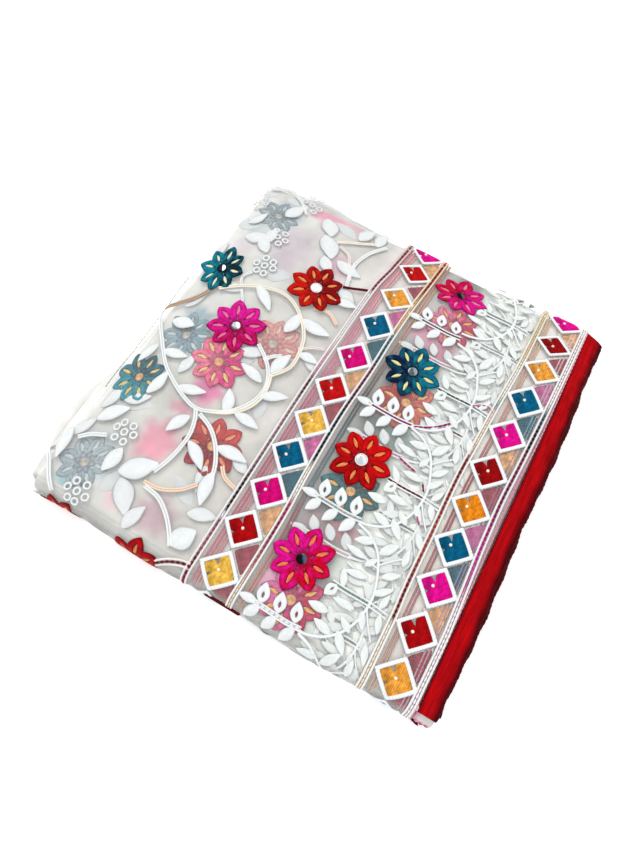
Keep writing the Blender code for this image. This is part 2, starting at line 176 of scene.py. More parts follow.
# ---- The diamonds of the two bands ----
# Each has its x, y and colour.
DIAMONDS = (
    (0, 148.5, "pink"), (-1, 128, "scarlet"), (-3, 102, "amber"), (-5, 74, "teal"), (-7, 43, "magenta"),
    (-8, 14, "scarlet"), (-8, -14, "gold"), (-9, -41.5, "teal"), (-8, -69.5, "magenta"), (-9, -98, "ruby"),
    (-8, -127, "gold"), (-8, -155.5, "teal"), (113, 147, "pink"), (112, 125, "red"), (112, 101, "amber"),
    (111, 73, "teal"), (110, 43.5, "pink"), (109, 14, "red"), (109, -14.5, "orange"), (110, -42.5, "teal"),
    (111.5, -70, "pink"), (112, -99, "ruby"), (113, -128, "amber"), (113.5, -156.5, "teal"),
)
UNDER_DIAMONDS = (
    (10, 138, "peach"), (10, 115, "rose"), (8, 88, "under_pink"), (6, 58, "under_teal"), (4.5, 28, "peach"),
    (4, 0, "rose"), (4, -28, "under_pink"), (4, -56, "under_teal"), (4, -84, "peach"), (4, -112, "rose"),
    (4, -140, "rose"), (4, -168, "peach"), (124, 137, "peach"), (124, 113, "rose"), (123, 87, "under_pink"),
    (122, 58, "under_teal"), (121, 29, "peach"), (121, 0, "rose"), (122, -29, "under_pink"),
    (122, -57, "under_teal"), (123, -85, "peach"), (124, -114, "rose"), (124, -141, "rose"),
    (124, -169, "peach"),
)
UNDER_CUT = 1.4
DIAMOND_REACH = 14.4
UNDER_REACH = 14.0
DIAMOND_CORD = 2.9
FILL_REACH = 0.79
FILL_COLUMNS, FRAME_COLUMNS = 72, 112
FILL_POWER, FRAME_POWER = 1.15, 1.06
# Where a fill's notches point, how deep they are and how wide, in degrees.
DIAMOND_NOTCHES = ((130, 0.58, 10), (224, 0.34, 8), (2, 0.06, 6))
BEAD_WIDTH = 2.2

# ---- The flowers ----
# Each has its x, y and first petal's direction, its light and dark colours, the side where it is light,
# its slits' colour and its middle. The two colours are partly the space-dyed thread's own, partly painted
# sheen: petals turned towards the side where it is light take the light colour.
FLOWERS = (
    (36.5, 128, 0, "#F0149C", "#D60438", -28, "#F4808A", "navy"),  # pink back
    (33.5, 54, 0, "#107C98", "#061E46", 25, "#E4D892", "grey"),  # teal strip
    (33, -21, 0, "#E2060C", "#B00008", 70, "#F0864C", "white"),  # red strip
    (31.5, -96, 0, "#F2109C", "#DC0030", 165, "#F6784C", "navy"),  # pink front
    (-126, 58, 10, "#108CA4", "#042C3C", 200, "#DCE4C0", "split"),  # teal field
    (-91, 22, 27, "#F41CA8", "#C80458", 120, "#F66C98", "grey"),  # pink field
    (-58, 79, -5, "#DC1408", "#8A0208", 215, "#F28C50", "white"),  # red field
)
ROLL_FLOWERS = (
    (-120, -160, 22, "#B01018", "#70060E", 90, "#E08C50", "none"),  # red roll left
    (-61, -155.5, 0, "#B81018", "#7E0810", 90, "#D08048", "none"),  # red roll
    (33.5, -170, 0, "#107C98", "#061E46", 25, "#E4D892", "none"),  # teal roll
)
UNDER_FLOWERS = (
    (42, 103, 0, "#F088AC", "#CC2C60", 190, "#F2A468", "none"),  # rose pink
    (40, 31, 0, "#E27A6C", "#B8403C", 0, "#F2B478", "none"),  # coral
    (37, -43, 0, "#3E8488", "#24565C", 250, "#E8A860", "none"),  # teal grey
    (38, -120, 0, "#F074B0", "#CE2C5C", 180, "#F4A860", "none"),  # rose
    (-86, -8, 12, "#FF86A4", "#E63086", 200, "#FCC07C", "none"),  # pink orange
    (-126, -45, 0, "#38A0B0", "#1A5C70", 270, "#F0C070", "none"),  # teal left
    (-56, -62, 15, "#DC4648", "#A6222E", 90, "#F0906C", "none"),  # red inner
)
DEEP_FLOWERS = (
    (-121, -112, 8, "#BACBD2", "#A6BAC6", 90, "#C4CED0", "faint"),  # faint blue
    (-118, -1, 20, "#A2BECA", "#86A8B8", 200, "#C2D0CC", "faint"),  # faint teal
    (-116, 122, 5, "#A6B8C0", "#8DA4B0", 250, "#B8C4C8", "faint"),  # faint grey
    (-62, 24, 8, "#F8AAA4", "#EA8C8A", 90, "#FCC4B0", "faint"),  # faint coral
)
# Work on still lower layers shows only as clouds of its colour: x, y, half width, half length, colour and
# strength. The grey clouds are painted shade of the folds and gaps in the layers below.
CLOUDS = (
    (-44, 127, 26, 20, "#B2AFA9", 0.6), (-98, 112, 32, 34, "#BEBBBA", 0.5),
    (-32, 76, 14, 34, "#B6B4B0", 0.5), (-62, 92, 20, 16, "#BDB8B6", 0.5), (38, 8, 18, 7, "#4E5B57", 0.8),
    (-120, 40, 18, 14, "#C4C6C4", 0.4), (-40, -70, 18, 40, "#C6C2BA", 0.4),
    (22, 122, 15, 27, "#BCB8B5", 0.75), (20, 84, 9, 12, "#ACA8A8", 0.5), (-117, -1, 12, 17, "#6594AA", 0.9),
    (-119, 15, 11, 11, "#7C96A2", 0.9), (-115, 123, 15, 17, "#7F98A4", 0.9),
    (-128, 104, 8, 6, "#90A8B0", 0.8), (-80, 144, 17, 11, "#D2839D", 0.95),
    (-92, 104, 17, 20, "#B3A6B0", 0.8), (-92, 82, 12, 12, "#B3A3AE", 0.8),
    (-55, 106, 12, 11, "#BC8FA0", 0.9), (-126, 85, 12, 7, "#C4B9C2", 0.7),
    (-89, -77, 14, 18, "#D58397", 0.95), (-82, -28, 12, 13, "#D56599", 0.95),
    (-120, -108, 17, 20, "#9EAFB7", 0.9), (-124, -127, 9, 6, "#72A4A8", 0.8),
    (-90, -120, 8, 10, "#DDB0B9", 0.7), (-62, -118, 14, 14, "#B3909D", 0.85),
    (-90, -49, 9, 5, "#D08399", 0.8), (-53, 32, 10, 8, "#B87880", 0.95), (-67, 30, 10, 11, "#C88480", 0.95),
    (30, 86, 13, 10, "#CA869D", 0.9), (45, 80, 10, 10, "#C2748E", 0.9), (44, -68, 14, 9, "#A46872", 0.9),
    (26, -70, 9, 8, "#957B7F", 0.8), (46, 6, 13, 9, "#667B77", 0.9), (24, -116, 10, 12, "#E195B7", 0.8),
    (50, -104, 10, 8, "#837486", 0.8), (-122, -60, 9, 10, "#BBC6C6", 0.7), (-56, 146, 9, 7, "#C2909D", 0.8),
)
PETALS = 8
PETAL_LENGTHWISE = (2.0, 5.0, 8.0, 11.0, 13.8, 16.4, 18.6, 20.1, 21.0)
PETAL_HALF_WIDTH = (0.8, 2.6, 4.3, 5.6, 5.9, 4.9, 3.3, 1.7, 0.15)
SLIT = {"at": 12.6, "long": 4.0, "half": 1.15}
PLAIN_MIDDLES = {"none": "#E8B47C", "faint": "#CCC2B6"}
# A mirror's painted reflection: its dark and bright tints, split across it, and its ring's colour where that
# isn't the petals' own.
MIRROR_REFLECTIONS = {
    "split": ("#14181E", "#E4EAEC", None), "grey": ("#5A6266", "#A4ACB0", None),
    "white": ("#C8D4DA", "#F4F6F7", "#EEF0F2"), "navy": ("#12161F", "#5A6478", None),
}
FLOWER_HEART = 5.2
MIRROR_RADIUS = 3.6
MIRROR_RING = 1.3

# ---- The leaves and vines of the field ----
# Each leaf has its x, y, direction, length and width.
FIELD_LEAVES = (
    (-115, -18, 8, 22, 7.5), (-131, -27, 250, 20, 8), (-113, -42, 80, 22, 9), (-90, -35, 18, 21, 7.5),
    (-65, -30, 112, 19, 8.5), (-46, -36, -5, 20, 7.5), (-39, -12, 28, 20, 7.5), (-62, -4, 165, 21, 7.5),
    (-84, -60, 245, 19, 8.5), (-62, -73, -35, 23, 8), (-42, -61, 2, 24, 8.5), (-43, -88, 282, 24, 9),
    (-106, -102, 262, 20, 10), (-124, -76, 40, 27, 11), (-139, -108, 285, 24, 9.5), (-124, 5, 10, 22, 10),
    (-48, 12, 75, 20, 9), (-87, 52, -36, 25, 8), (-42, 50, -4, 25, 9.5), (-58, 45, 82, 20, 9),
    (-39, -121, 55, 19, 14), (-88, -98, 42, 27, 14), (-34, 25, 0, 16, 7), (-33, 78, 10, 18, 7),
    (-92, -153.5, 14, 22, 7.5), (-33, -153, 165, 15, 7), (-139, -152, 80, 10, 6),
)
UNDER_LEAVES = (
    (-107, 132, 72, 26, 11), (-128, 112, 62, 22, 9), (-120, 97, 25, 22, 12), (-112, 93, 140, 20, 10),
    (-112, 102, 80, 20, 10), (-77, 133, -62, 24, 14), (-69, 117, -58, 30, 15), (-62, 102, -52, 20, 10),
    (-46, 107, -15, 24, 12), (-48, 141, 70, 22, 10), (-36, 143, 85, 22, 9), (-35, 85, -35, 22, 10),
    (-86, -118, 310, 26, 13), (-72, -126, 75, 20, 9), (-128, 28, 65, 24, 9), (-136, 72, 85, 20, 8),
    (-112, 48, 10, 22, 9), (-50, -84, 285, 20, 10), (-118, -58, 30, 22, 9), (-136, -92, 60, 22, 9),
    (-132, -64, 75, 26, 10), (-30, 24, -40, 18, 8), (-34, -62, 150, 18, 8), (-36, -104, 20, 20, 9),
    (-70, 10, 25, 20, 9), (-104, -20, 80, 18, 8),
)
DEEP_LEAVES = (
    (-132, 104, 20, 26, 13), (-104, 76, 100, 26, 12), (-90, 76, 20, 24, 12), (-44, 88, 60, 24, 12),
    (-66, 138, 160, 26, 12), (-116, -62, 20, 26, 12), (-96, -112, 60, 26, 12), (-56, -96, 150, 24, 11),
    (-72, 6, 80, 24, 11), (-44, -20, 100, 24, 11), (-108, 142, 10, 26, 12), (-132, 140, 40, 24, 11),
)
# Each vine has its colour, width and points.
VINES = (
    ("cream", 3.0, ((-119, 42), (-112, 48), (-102, 55), (-90, 60), (-75, 62), (-62, 57),
                    (-50, 46), (-43, 33), (-41, 14), (-50, 0))),
    ("white", 3.0, ((-70, 18), (-58, 9), (-51, 0), (-48, -10), (-50, -22), (-58, -34), (-68, -41),
                    (-80, -45), (-92, -42), (-104, -36), (-116, -28), (-128, -15), (-137, -4), (-142, 4))),
    ("cream", 3.3, ((-50, 2), (-47, -8), (-47, -18), (-51, -28), (-60, -37), (-72, -43))),
    ("white", 3.2, ((-80, -45), (-76, -52), (-73, -62), (-73, -74), (-75, -86), (-78, -96))),
    ("white", 3.2, ((-76, -47), (-64, -52), (-54, -61), (-47, -72), (-43, -84))),
    ("brown", 3.0, ((-123, 41), (-125, 34), (-130, 25), (-137, 16), (-143, 8))),
    ("twig", 2.2, ((-42, 90), (-34, 92.5), (-24, 96.5))),
    ("blush", 3.0, ((-80, -104), (-68, -103), (-57, -97), (-49, -88))),
    ("white", 3.2, ((-78, -106), (-66, -108), (-56, -114), (-48, -122), (-42, -130))),
    ("blush", 3.0, ((-43, -70), (-37, -76), (-27, -79))),
    ("white", 3.2, ((-134, -101), (-128, -95), (-118, -90))),
    ("white", 3.2, ((-150, -112), (-142, -120), (-134, -130), (-126, -138))),
    ("white", 3.2, ((-60, 8), (-56, 14), (-50, 18))),
    ("pale", 2.6, ((-44, 28), (-36, 34), (-27, 38))),
)
UNDER_VINES = (
    ("cream", 2.6, ((-66, 124), (-54, 130), (-42, 136), (-34, 140))),
    ("white", 2.4, ((-134, 142), (-120, 148), (-106, 142), (-98, 134))),
    ("white", 2.4, ((-106, 68), (-110, 60), (-104, 50), (-98, 42))),
    ("pale", 2.4, ((-40, 98), (-46, 108), (-52, 118), (-62, 122))),
    ("blush", 3.0, ((-30, 60), (-40, 66), (-52, 64))),
    ("white", 3.2, ((-30, 140), (-40, 126), (-44, 110), (-40, 92))),
)
BERRIES = ((-110, -83), (-112, -130))
UNDER_BERRIES = ((-99, 145), (-106, 104), (-101, 77), (-137, 126))
BERRY = {"ring": 2.2, "cord": 2.0, "spread": 6.9, "count": 7}

# ---- The strip between the bands: sprigs with eyelet leaves, then the thick leaf work ----
# Each unit of the leaf work hangs on a flower, and has its y and its stem's colour. Leaves are placed from
# the flower's middle.
STRIP_UNITS = ((128, "#8A9A90"), (54, "#2E4A40"), (-21, "#70121A"), (-96, "#7C9488"), (-171, "#7C9488"))
UNDER_UNITS = ((178, "#8A9A90"), (103, "#8A9A90"), (31, "#5A2028"), (-43, "#7C8C84"), (-120, "#7C8C84"))
DEEP_UNITS = tuple((y, "#C8CEC8") for y in (150, 78, 5, -70, -146))
UNIT_MIDDLE = 33.0
STRIP_WHITE = (0.985, 1.0, 0.972)
UNDER_SHIFT = 5.0
STRIP_FRONT, STRIP_BACK = -157.0, 152.0
STRIP_LEAVES = (
    (25, 4, 122, 12, 5.2), (27, 29, 195, 14, 6), (42, 33, 60, 15, 6.6), (24, 20, 170, 16, 5),
    (50, 19, 38, 13, 5.2), (33, 8, 186, 16, 5.4), (50, 8, 42, 14, 5), (34, -11, 176, 15, 5.4),
    (22, -18, 173, 14, 6.2), (47, -13, 305, 12, 5), (30, -29, 165, 14, 6), (42, -31, 305, 15, 6),
    (57, -30, 300, 13, 5), (54, 33, 100, 12, 5), (56, -10, 290, 12, 4.8), (40, -20, 150, 11, 5),
    (36, 20, 60, 10, 4.6), (55, 2, 70, 11, 4.6),
)
UNDER_EXTRA_LEAVES = (
    (30, 0, 20, 15, 6), (38, -34, 200, 15, 6), (44, 8, 150, 15, 6), (50, -4, 120, 14, 6),
    (30, 14, 340, 14, 5.5), (38, 28, 130, 14, 6), (50, 28, 80, 14, 6), (30, -20, 20, 14, 5.5),
    (52, -22, 100, 14, 6), (44, -26, 20, 14, 6),
)
EYELET_LEAVES = ((24, -8, 232, 10, 7.4),)
STRIP_ARC = (
    (18, 37), (28, 34), (37, 27), (43, 16), (47, 2), (46, -12), (41, -24), (33, -32), (24, -36), (17, -37),
)
STRIP_TWIGS = (
    ((28, -8), (34, -11), (40, -12)), ((30, 21), (36, 19), (42, 18)), ((47, -6), (52, -14), (58, -22)),
    ((41, 20), (48, 27), (54, 32)),
)
FLOWER_STEM = ((21, -2.5), (32, -3), (46, -3), (60, -4.5))
SPRIGS = ((95, "#54484A"), (17, "#8C1462"), (-57, "#A9B4B0"), (-132, "#F2F4F3"))
UNDER_SPRIGS = ((71, "#C890A0"), (-6, "#D070A0"), (-80, "#D8A8A8"))
SPRIG_STEM = ((17, 0.6), (30, 0), (42, -0.4), (52, 0.4))
SPRIG_UPPER = ((22, 7.5, 108), (33.5, 7.5, 106), (45, 7.5, 106))
SPRIG_LOWER = ((20.5, -5.6, 236), (33, -6.4, 240), (45.5, -6.6, 241))
SPRIG_TIP = (15, 0.6, 183)
SPRIG_LEAF = {"upper": (13.0, 8.0), "lower": (12.8, 7.2), "tip": (13.0, 5.8)}
UNDER_SPRIG_LEAN = 20.0
UNDER_SPRIG_SIZE = 0.86
# How much darker the sprigs of a lower layer are, as painted shade under the layer over them.
SPRIG_VEIL_SHADE = 2.6
EYELET = {"at": -0.1, "long": 0.13, "half": 0.06}
STRIP_THREADS = (
    ("#A0206A", ((52, 17), (60, 21), (67, 26), (73, 32))),
    ("#C87898", ((80, 51), (86, 55), (91, 56), (95, 53))),
    ("#B03060", ((54, -7), (61, -9), (68, -10.5))),
    ("#8A1830", ((75, -15), (78, -20))),
    ("#C06080", ((81, -36), (85, -41))),
)
EDGE_THREADS = (
    ("#46605C", ((-142, 11), (-142.5, -8), (-141, -26), (-143.5, -44), (-146, -62))),
    ("#5A7472", ((-142.5, 40), (-143, 26), (-142, 12))),
)
ROLL_THREAD = {"path": ((-10, -145.5), (2, -146), (16, -145.5)), "dye": "#5A0A14"}

# ---- The red edgings ----
# Each has its node, width, front, back and the start of its wave.
EDGINGS = (
    ("red_edging_top", 12.5, -137.0, 154.0, 0.0),
    ("red_edging_second", 13.8, -134.5, 155.0, 17.0),
    ("red_edging_third", 12.8, -133.5, 153.2, 31.0),
    ("red_edging_fourth", 14.2, -133.5, 155.4, 44.0),
)
EDGING_WAVES = ((118.0, 1.0), (23.0, 0.45))
EDGING_DROOP = {"depth": 2.2, "starts": 5.0, "over": 10.0}
EDGING_BACK_SLANT = 4.0
EDGING_WALL = 1.4
EDGING_PITCH = 1.7
EDGING_GATHERS = ((11.3, 0.22), (5.1, 0.08))
EDGING_SCALLOP = {"pitch": 3.7, "depth": 0.35}
# Dark lines along an edging: strength, place across it and width.
EDGING_STREAKS = ((0.18, 0.3, 0.06), (0.14, 0.58, 0.05))
# The hidden edgings: their box, and their folds' number, reach, notches' depth and waves.
BLOCK = {"left": 131.3, "right": 139.5, "front": -133.0, "back": 152.0, "top": 12.6, "folds": 7,
         "reach": 4.0, "notch": 2.0}
BLOCK_RIPPLES = ((0.5, 4.3, 2.1), (0.7, 19, 3.3))
CORNER = {"left": 131.6, "spread": 10.9, "swell": 3.0}
CORNER_FOLD = {"width": 10.9, "inset": 2.0, "start": 25.0, "end": 160.0}
CORNER_EDGING = {"width": 5.2, "inset": 0.7, "start": 92.0, "end": 146.0}
CORNER_PINK, CORNER_RUBY = "#D88098", "#8C1020"

# ---- Section shapes of stitched work: across from edge to edge, then back underneath ----
ROUND_SECTION = ((-1, -0.62, 0, 0.62, 1, 0, -1), (0, 0.78, 1, 0.78, 0, -0.15, 0))
LEAF_SECTION = ((-1, -0.8, -0.4, 0, 0.4, 0.8, 1, 0, -1), (0, 0.7, 1, 0.72, 1, 0.7, 0, -0.15, 0))
BAND_SECTION = ((-1, -0.8, -0.4, 0.2, 0.7, 0.9, 1, 0, -1), (0.1, 0.7, 0.94, 1, 0.96, 0.7, 0, -0.15, 0.1))
DOME_SECTION = ((0, 0.35, 0.7, 0.85, 0.94, 1, 0), (1, 0.97, 0.92, 0.8, 0.5, 0, -0.15))
# The same for an edging, in shares of its width and of its wall.
EDGING_SECTION = ((0, 0.16, 0.34, 0.52, 0.7, 0.86, 0.96, 1, 0.96, 0.7, 0.34, 0, 0),
                  (0, 0.0, 0.0, 0.0, 0.0, 0.0, -0.16, -0.5, -0.84, -1, -1, -1, 0))


def linear(colour):
    """An sRGB hex colour as linear red, green and blue."""
    parts = [int(colour[i : i + 2], 16) / 255 for i in (1, 3, 5)]
    return tuple(c / 12.92 if c <= 0.04045 else ((c + 0.055) / 1.055) ** 2.4 for c in parts)


DYES = {
    "white": "#F0F4F4", "cream": "#F7F0E0", "pale": "#F4E4E4", "peach": "#F2B47C", "blush": "#F7DCC6",
    "under_pink": "#DE64A8", "under_teal": "#0C6478", "brown": "#C0A48C", "veiled": "#F2ECE6",
    "twig": "#5E0C18", "scarlet": "#CC0A0E", "ruby": "#B4040A", "magenta": "#E4007E", "gold": "#FDC654",
    "amber": "#FAAA44", "pink": "#F00A98", "red": "#9E0206", "orange": "#F8921C", "teal": "#00648C",
    "rose": "#A83C50",
}


def color_property(name, description, colour):
    """A colour setting with its default given as sRGB hex."""
    return bpy.props.FloatVectorProperty(
        name=name, description=description, subtype="COLOR", size=3, min=0, max=1, default=linear(colour)
    )


def length_property(name, description, default):
    """A length setting, kept in metres, with its default given in millimetres."""
    return bpy.props.FloatProperty(
        name=name, description=description, unit="LENGTH", min=0, default=default * MM
    )


def share_property(name, description, default, highest=1.0):
    """A plain number from zero upwards."""
    return bpy.props.FloatProperty(name=name, description=description, min=0, max=highest, default=default)


# ---- Settings ----
class ShawlCloth(bpy.types.PropertyGroup):
    """The sheer ground and the hidden layers."""

    thickness: length_property("Thickness", "Thickness of one sheer layer", 0.22)
    cover: share_property("Cover", "How much of what lies under a layer its threads cover", 0.075)
    weave_pitch: length_property("Weave pitch", "Spacing of the drawn threads", 1.1)
    colour: color_property("Ground", "Colour of the sheer ground", "#F3F2EF")
    folds: color_property("Free folds", "Colour of the hidden layers at their folds", "#E6E4E0")
    # The front folds' colour is painted shade: the darkness inside the front fold.
    front: color_property("Front folds", "Colour of the hidden layers inside the front fold", "#BEBFBA")


class ShawlEmbroidery(bpy.types.PropertyGroup):
    """Threads, mirrors and beads."""

    pile: length_property("Petal pile", "How far petals stand above the cloth", 0.6)
    leaf_pile: length_property("Leaf pile", "How far leaves stand above the cloth", 0.5)
    under_pile: length_property("Under pile", "The same for work on the layers below", 0.35)
    stitch_pitch: length_property("Stitch pitch", "Spacing of the drawn satin stitches", 1.3)
    white: color_property("White floss", "Colour of leaves and cords", "#F0F4F5")
    bead: color_property("Bead", "Colour of the small round beads", "#F4E6D2")


class ShawlEdging(bpy.types.PropertyGroup):
    """The red edgings and the corner fold."""

    colour: color_property("Red", "Colour of the edgings", "#B4030C")
    # The shaded red is painted shade, on the edgings' rims, in their valleys, on the lower and hidden edgings
    # and the corner's rim.
    shade: color_property("Shaded red", "Colour of the edgings' hidden rims", "#480006")
    rib_pitch: length_property("Rib pitch", "Spacing of the drawn ribs", 1.3)


class ShawlStudio(bpy.types.PropertyGroup):
    """Floor, light and camera."""

    floor: color_property("Floor", "Colour of the floor", "#FAFAFA")
    floor_glow: share_property("Floor glow", "Light that the floor gives out itself", 0.35)
    sky: share_property("Sky", "Strength of the light from all round", 1.0, 10.0)
    sun: share_property("Sun", "Strength of the soft key light", 1.0, 10.0)
    camera_place: bpy.props.FloatVectorProperty(
        name="Camera", description="Where the camera stands, from the middle of the top stretch",
        subtype="TRANSLATION", unit="LENGTH", default=(0.05762, -0.15113, 0.39370),
    )
    camera_target: bpy.props.FloatVectorProperty(
        name="Target", description="Where the camera points, from the middle of the top stretch",
        subtype="TRANSLATION", unit="LENGTH", default=(-0.00203, -0.01404, 0.02),
    )
    camera_roll: bpy.props.FloatProperty(
        name="Roll", description="How far the camera is rolled", subtype="ANGLE", default=radians(6.54)
    )
    lens: bpy.props.FloatProperty(name="Lens", description="Focal length in millimetres", default=25.51)


# ---- The form of the cloth ----
def eased(share):
    """A soft step from 0 to 1."""
    return np.sin(pi / 2 * np.clip(share, 0, 1)) ** 2


def sag_depth(x, y):
    """How far the stack has come down at a place, towards the left and the back."""
    left = LEFT_SAG["depth"] * eased((-x - LEFT_SAG["start"]) / LEFT_SAG["run"])
    left = left * eased((y - FLAT_FRONT) / FRONT_EASE)
    back = BACK_SAG["depth"] * eased((y - BACK_SAG["start"]) / BACK_SAG["run"])
    return np.hypot(left, back)


def sagged(x, y, z):
    """The height of a point of the even stack once it has settled."""
    return z - sag_depth(x, y) * np.minimum(z / CORE_SHOULDER, 1)


def ridge(place, at, spread):
    """A smooth rise from 0 to 1 and back, round a place."""
    return np.exp(-(((place - at) / spread) ** 2))


def soft_folds(share, count, power):
    """Which of a row of folds a share of the height is in, and how far that fold stands out there."""
    fold = np.clip(share, 0, 0.9999) * count
    return np.floor(fold), np.sqrt(1 - np.abs(2 * (fold % 1) - 1) ** power)


def ripple(place, number, waves):
    """The unevenness along the fold of that number."""
    return sum(height * np.sin(place / length + number * turn) for height, length, turn in waves)


def crease_height(x, y, rows):
    """How far soft ridges and troughs lift the cloth at places in plan."""
    lift = np.zeros_like(x)
    for x0, y0, x1, y1, width, height in rows:
        along_x, along_y = x1 - x0, y1 - y0
        share = np.clip(((x - x0) * along_x + (y - y0) * along_y) / (along_x**2 + along_y**2), 0, 1)
        off = np.hypot(x - x0 - share * along_x, y - y0 - share * along_y)
        lift = lift + height * ridge(off, 0, width)
    return lift


def bell(place, swell):
    """A smooth swelling: reach at its middle, fading over its spread."""
    return swell["reach"] * ridge(place, swell["at"], swell["spread"])


def wave(place, rule):
    """A slow wave along a fold line."""
    return rule["height"] * np.sin(2 * pi * (place - rule["start"]) / rule["length"])


def blended(left, front, back, key):
    """A size of the fold in a direction between two sides, from shares that add up to one."""
    return left * LEFT_FOLD[key] + front * FRONT_FOLD[key] + back * BACK_FOLD[key]


def stack_point(a, b, inset):
    """Where places of the cloth lie, on the surface that is inset below the outer one."""
    turns = [
        np.clip((FLAT_LEFT - a) / LEFT_FOLD["arc"], 0, 1),
        np.clip((FLAT_FRONT - b) / FRONT_FOLD["arc"], 0, 1),
        np.clip((b - FLAT_BACK) / BACK_FOLD["arc"], 0, 1),
    ]
    angle = np.maximum.reduce(turns) * FOLD_TURN
    size = np.maximum(np.sqrt(sum(turn**2 for turn in turns)), 1e-9)
    left, front, back = (turn / size for turn in turns)
    x, y = np.maximum(a, FLAT_LEFT), np.clip(b, FLAT_FRONT, FLAT_BACK)
    shares = (left**2, front**2, back**2)
    rise = blended(*shares, "rise") - inset
    reach = (blended(*shares, "reach") - inset) * np.sin(angle)
    shift_x = -shares[0] * wave(y, LEFT_WAVE) * np.sin(angle)
    shift_y = (shares[2] * bell(x, BACK_BULGE) - shares[1] * wave(x, FRONT_WAVE)) * np.sin(angle)
    lift = crease_height(x, y, LARGE_CREASES)
    lift = lift + crease_height(x, y, FINE_CREASES) * max(1 - inset / CORE_INSET, 0)
    z = STACK_HEIGHT - inset - rise * (1 - np.cos(angle)) + lift * np.cos(angle / 2) ** 2
    x_out = x - left * reach + shift_x
    y_out = y + (back - front) * reach + shift_y
    return np.stack([x_out, y_out, sagged(x_out, y_out, z)], axis=-1)


def cloth_point(a, b, h, inset):
    """Points at a height above places of a cloth layer, square to its surface."""
    step = 0.4
    along_a = stack_point(a + step, b, inset) - stack_point(a - step, b, inset)
    along_b = stack_point(a, b + step, inset) - stack_point(a, b - step, inset)
    normal = np.cross(along_a, along_b)
    normal /= np.maximum(np.linalg.norm(normal, axis=-1, keepdims=True), 1e-9)
    return stack_point(a, b, inset) + normal * h[..., None]


def settled(x, y):
    """The cloth place that a place of the layout comes to once the stack has thinned under it."""
    view_x, view_y, view_z = VIEW_POINT
    place_x, place_y = np.array(x, float), np.array(y, float)
    for _ in range(3):
        share = sag_depth(place_x, place_y) / (view_z - STACK_HEIGHT)
        place_x, place_y = x + share * (x - view_x), y + share * (y - view_y)
    return place_x, place_y


# ---- Making meshes ----
TEMPLATES = {}


def grid_template(columns, rows):
    """A flat grid from 0 to 1 both ways with a UV map, and the places of its points."""
    if (columns, rows) not in TEMPLATES:
        grid = bmesh.new()
        grid.loops.layers.uv.new("stitch_map")
        bmesh.ops.create_grid(grid, x_segments=columns, y_segments=rows, size=0.5, calc_uvs=True)
        bmesh.ops.translate(grid, verts=grid.verts, vec=(0.5, 0.5, 0))
        mesh = bpy.data.meshes.new(f"grid_{columns}_{rows}")
        grid.to_mesh(mesh)
        grid.free()
        places = np.zeros(len(mesh.vertices) * 3)
        mesh.vertices.foreach_get("co", places)
        TEMPLATES[columns, rows] = mesh, places.reshape(-1, 3)[:, :2]
    return TEMPLATES[columns, rows]


def abreast(*parts):
    """Arrays side by side, with one row for each place."""
    return np.stack(parts, axis=-1)


def section(v, shape):
    """Across and height of a section shape at shares v round it."""
    stations = np.linspace(0, 1, len(shape[0]))
    return np.interp(v, stations, shape[0]), np.interp(v, stations, shape[1])


class Work:
    """Patches of stitching or cloth, gathered for one object and sewn on all at once."""

    def __init__(self):
        self.meshes, self.points, self.maps, self.dyes = [], [], [], []

    def add(self, columns, rows, place):
        """Adds a patch: place turns grid places (u, v) into points, map places and linear colours."""
        mesh, places = grid_template(columns, rows)
        points, mapped, dye = place(places[:, 0], places[:, 1])
        self.meshes.append(mesh)
        self.points.append(points)
        self.maps.append(mapped)
        self.dyes.append(np.broadcast_to(dye, points.shape))

    def stitch(self, columns, shape, place):
        """Adds a patch with a section shape: place turns (u, across, up) into the same three."""
        self.add(columns, len(shape[0]) - 1, lambda u, v: place(u, *section(v, shape)))

    def sew(self, name, material, slot, inset=None, merge=0.004):
        """Makes the object. With an inset, points are (a, b, h) on the cloth layer at that inset."""
        points = np.concatenate(self.points)
        if inset is not None:
            points = cloth_point(points[:, 0], points[:, 1], points[:, 2], inset)
        gathered = bmesh.new()
        for patch in self.meshes:
            gathered.from_mesh(patch)
        mesh = bpy.data.meshes.new(name)
        gathered.to_mesh(mesh)
        gathered.free()
        mesh.vertices.foreach_set("co", ((points - np.array([*PLAN_CENTRE, 0.0])) * MM).ravel())
        corners = np.zeros(len(mesh.loops), int)
        mesh.loops.foreach_get("vertex_index", corners)
        mesh.uv_layers[0].data.foreach_set("uv", np.concatenate(self.maps)[corners].ravel())
        dye = mesh.attributes.new("dye", "FLOAT_COLOR", "POINT")
        opaque = np.ones((len(points), 1))
        dye.data.foreach_set("color", np.hstack([np.concatenate(self.dyes), opaque]).ravel())
        return finish_mesh(name, mesh, material, merge)


def finish_mesh(name, mesh, material, merge):
    """Closes seams and poles, turns the faces outwards, and puts the object on the shawl's body."""
    shape = bmesh.new()
    shape.from_mesh(mesh)
    if merge:
        bmesh.ops.remove_doubles(shape, verts=shape.verts, dist=merge * MM)
        bmesh.ops.dissolve_degenerate(shape, edges=shape.edges, dist=merge * MM)
        bmesh.ops.recalc_face_normals(shape, faces=shape.faces)
    else:
        highest = max(shape.faces, key=lambda face: face.calc_center_median().z)
        bmesh.ops.recalc_face_normals(shape, faces=shape.faces)
        if highest.normal.z < 0:
            bmesh.ops.reverse_faces(shape, faces=shape.faces)
    shape.to_mesh(mesh)
    shape.free()
    mesh.shade_smooth()
    mesh.materials.append(material)
    made = bpy.data.objects.new(name, mesh)
    bpy.context.scene.collection.objects.link(made)
    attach(made, "root")
    return made


def sew_patch(name, columns, rows, place, material, slot, inset=None, merge=0):
    """Makes an object of a single patch."""
    work = Work()
    work.add(columns, rows, place)
    return work.sew(name, material, slot, inset, merge)


def add_wall(made, thickness):
    """Gives a sheet its thickness, below its face."""
    wall = made.modifiers.new("Wall", "SOLIDIFY")
    wall.thickness = thickness
    wall.offset = -1


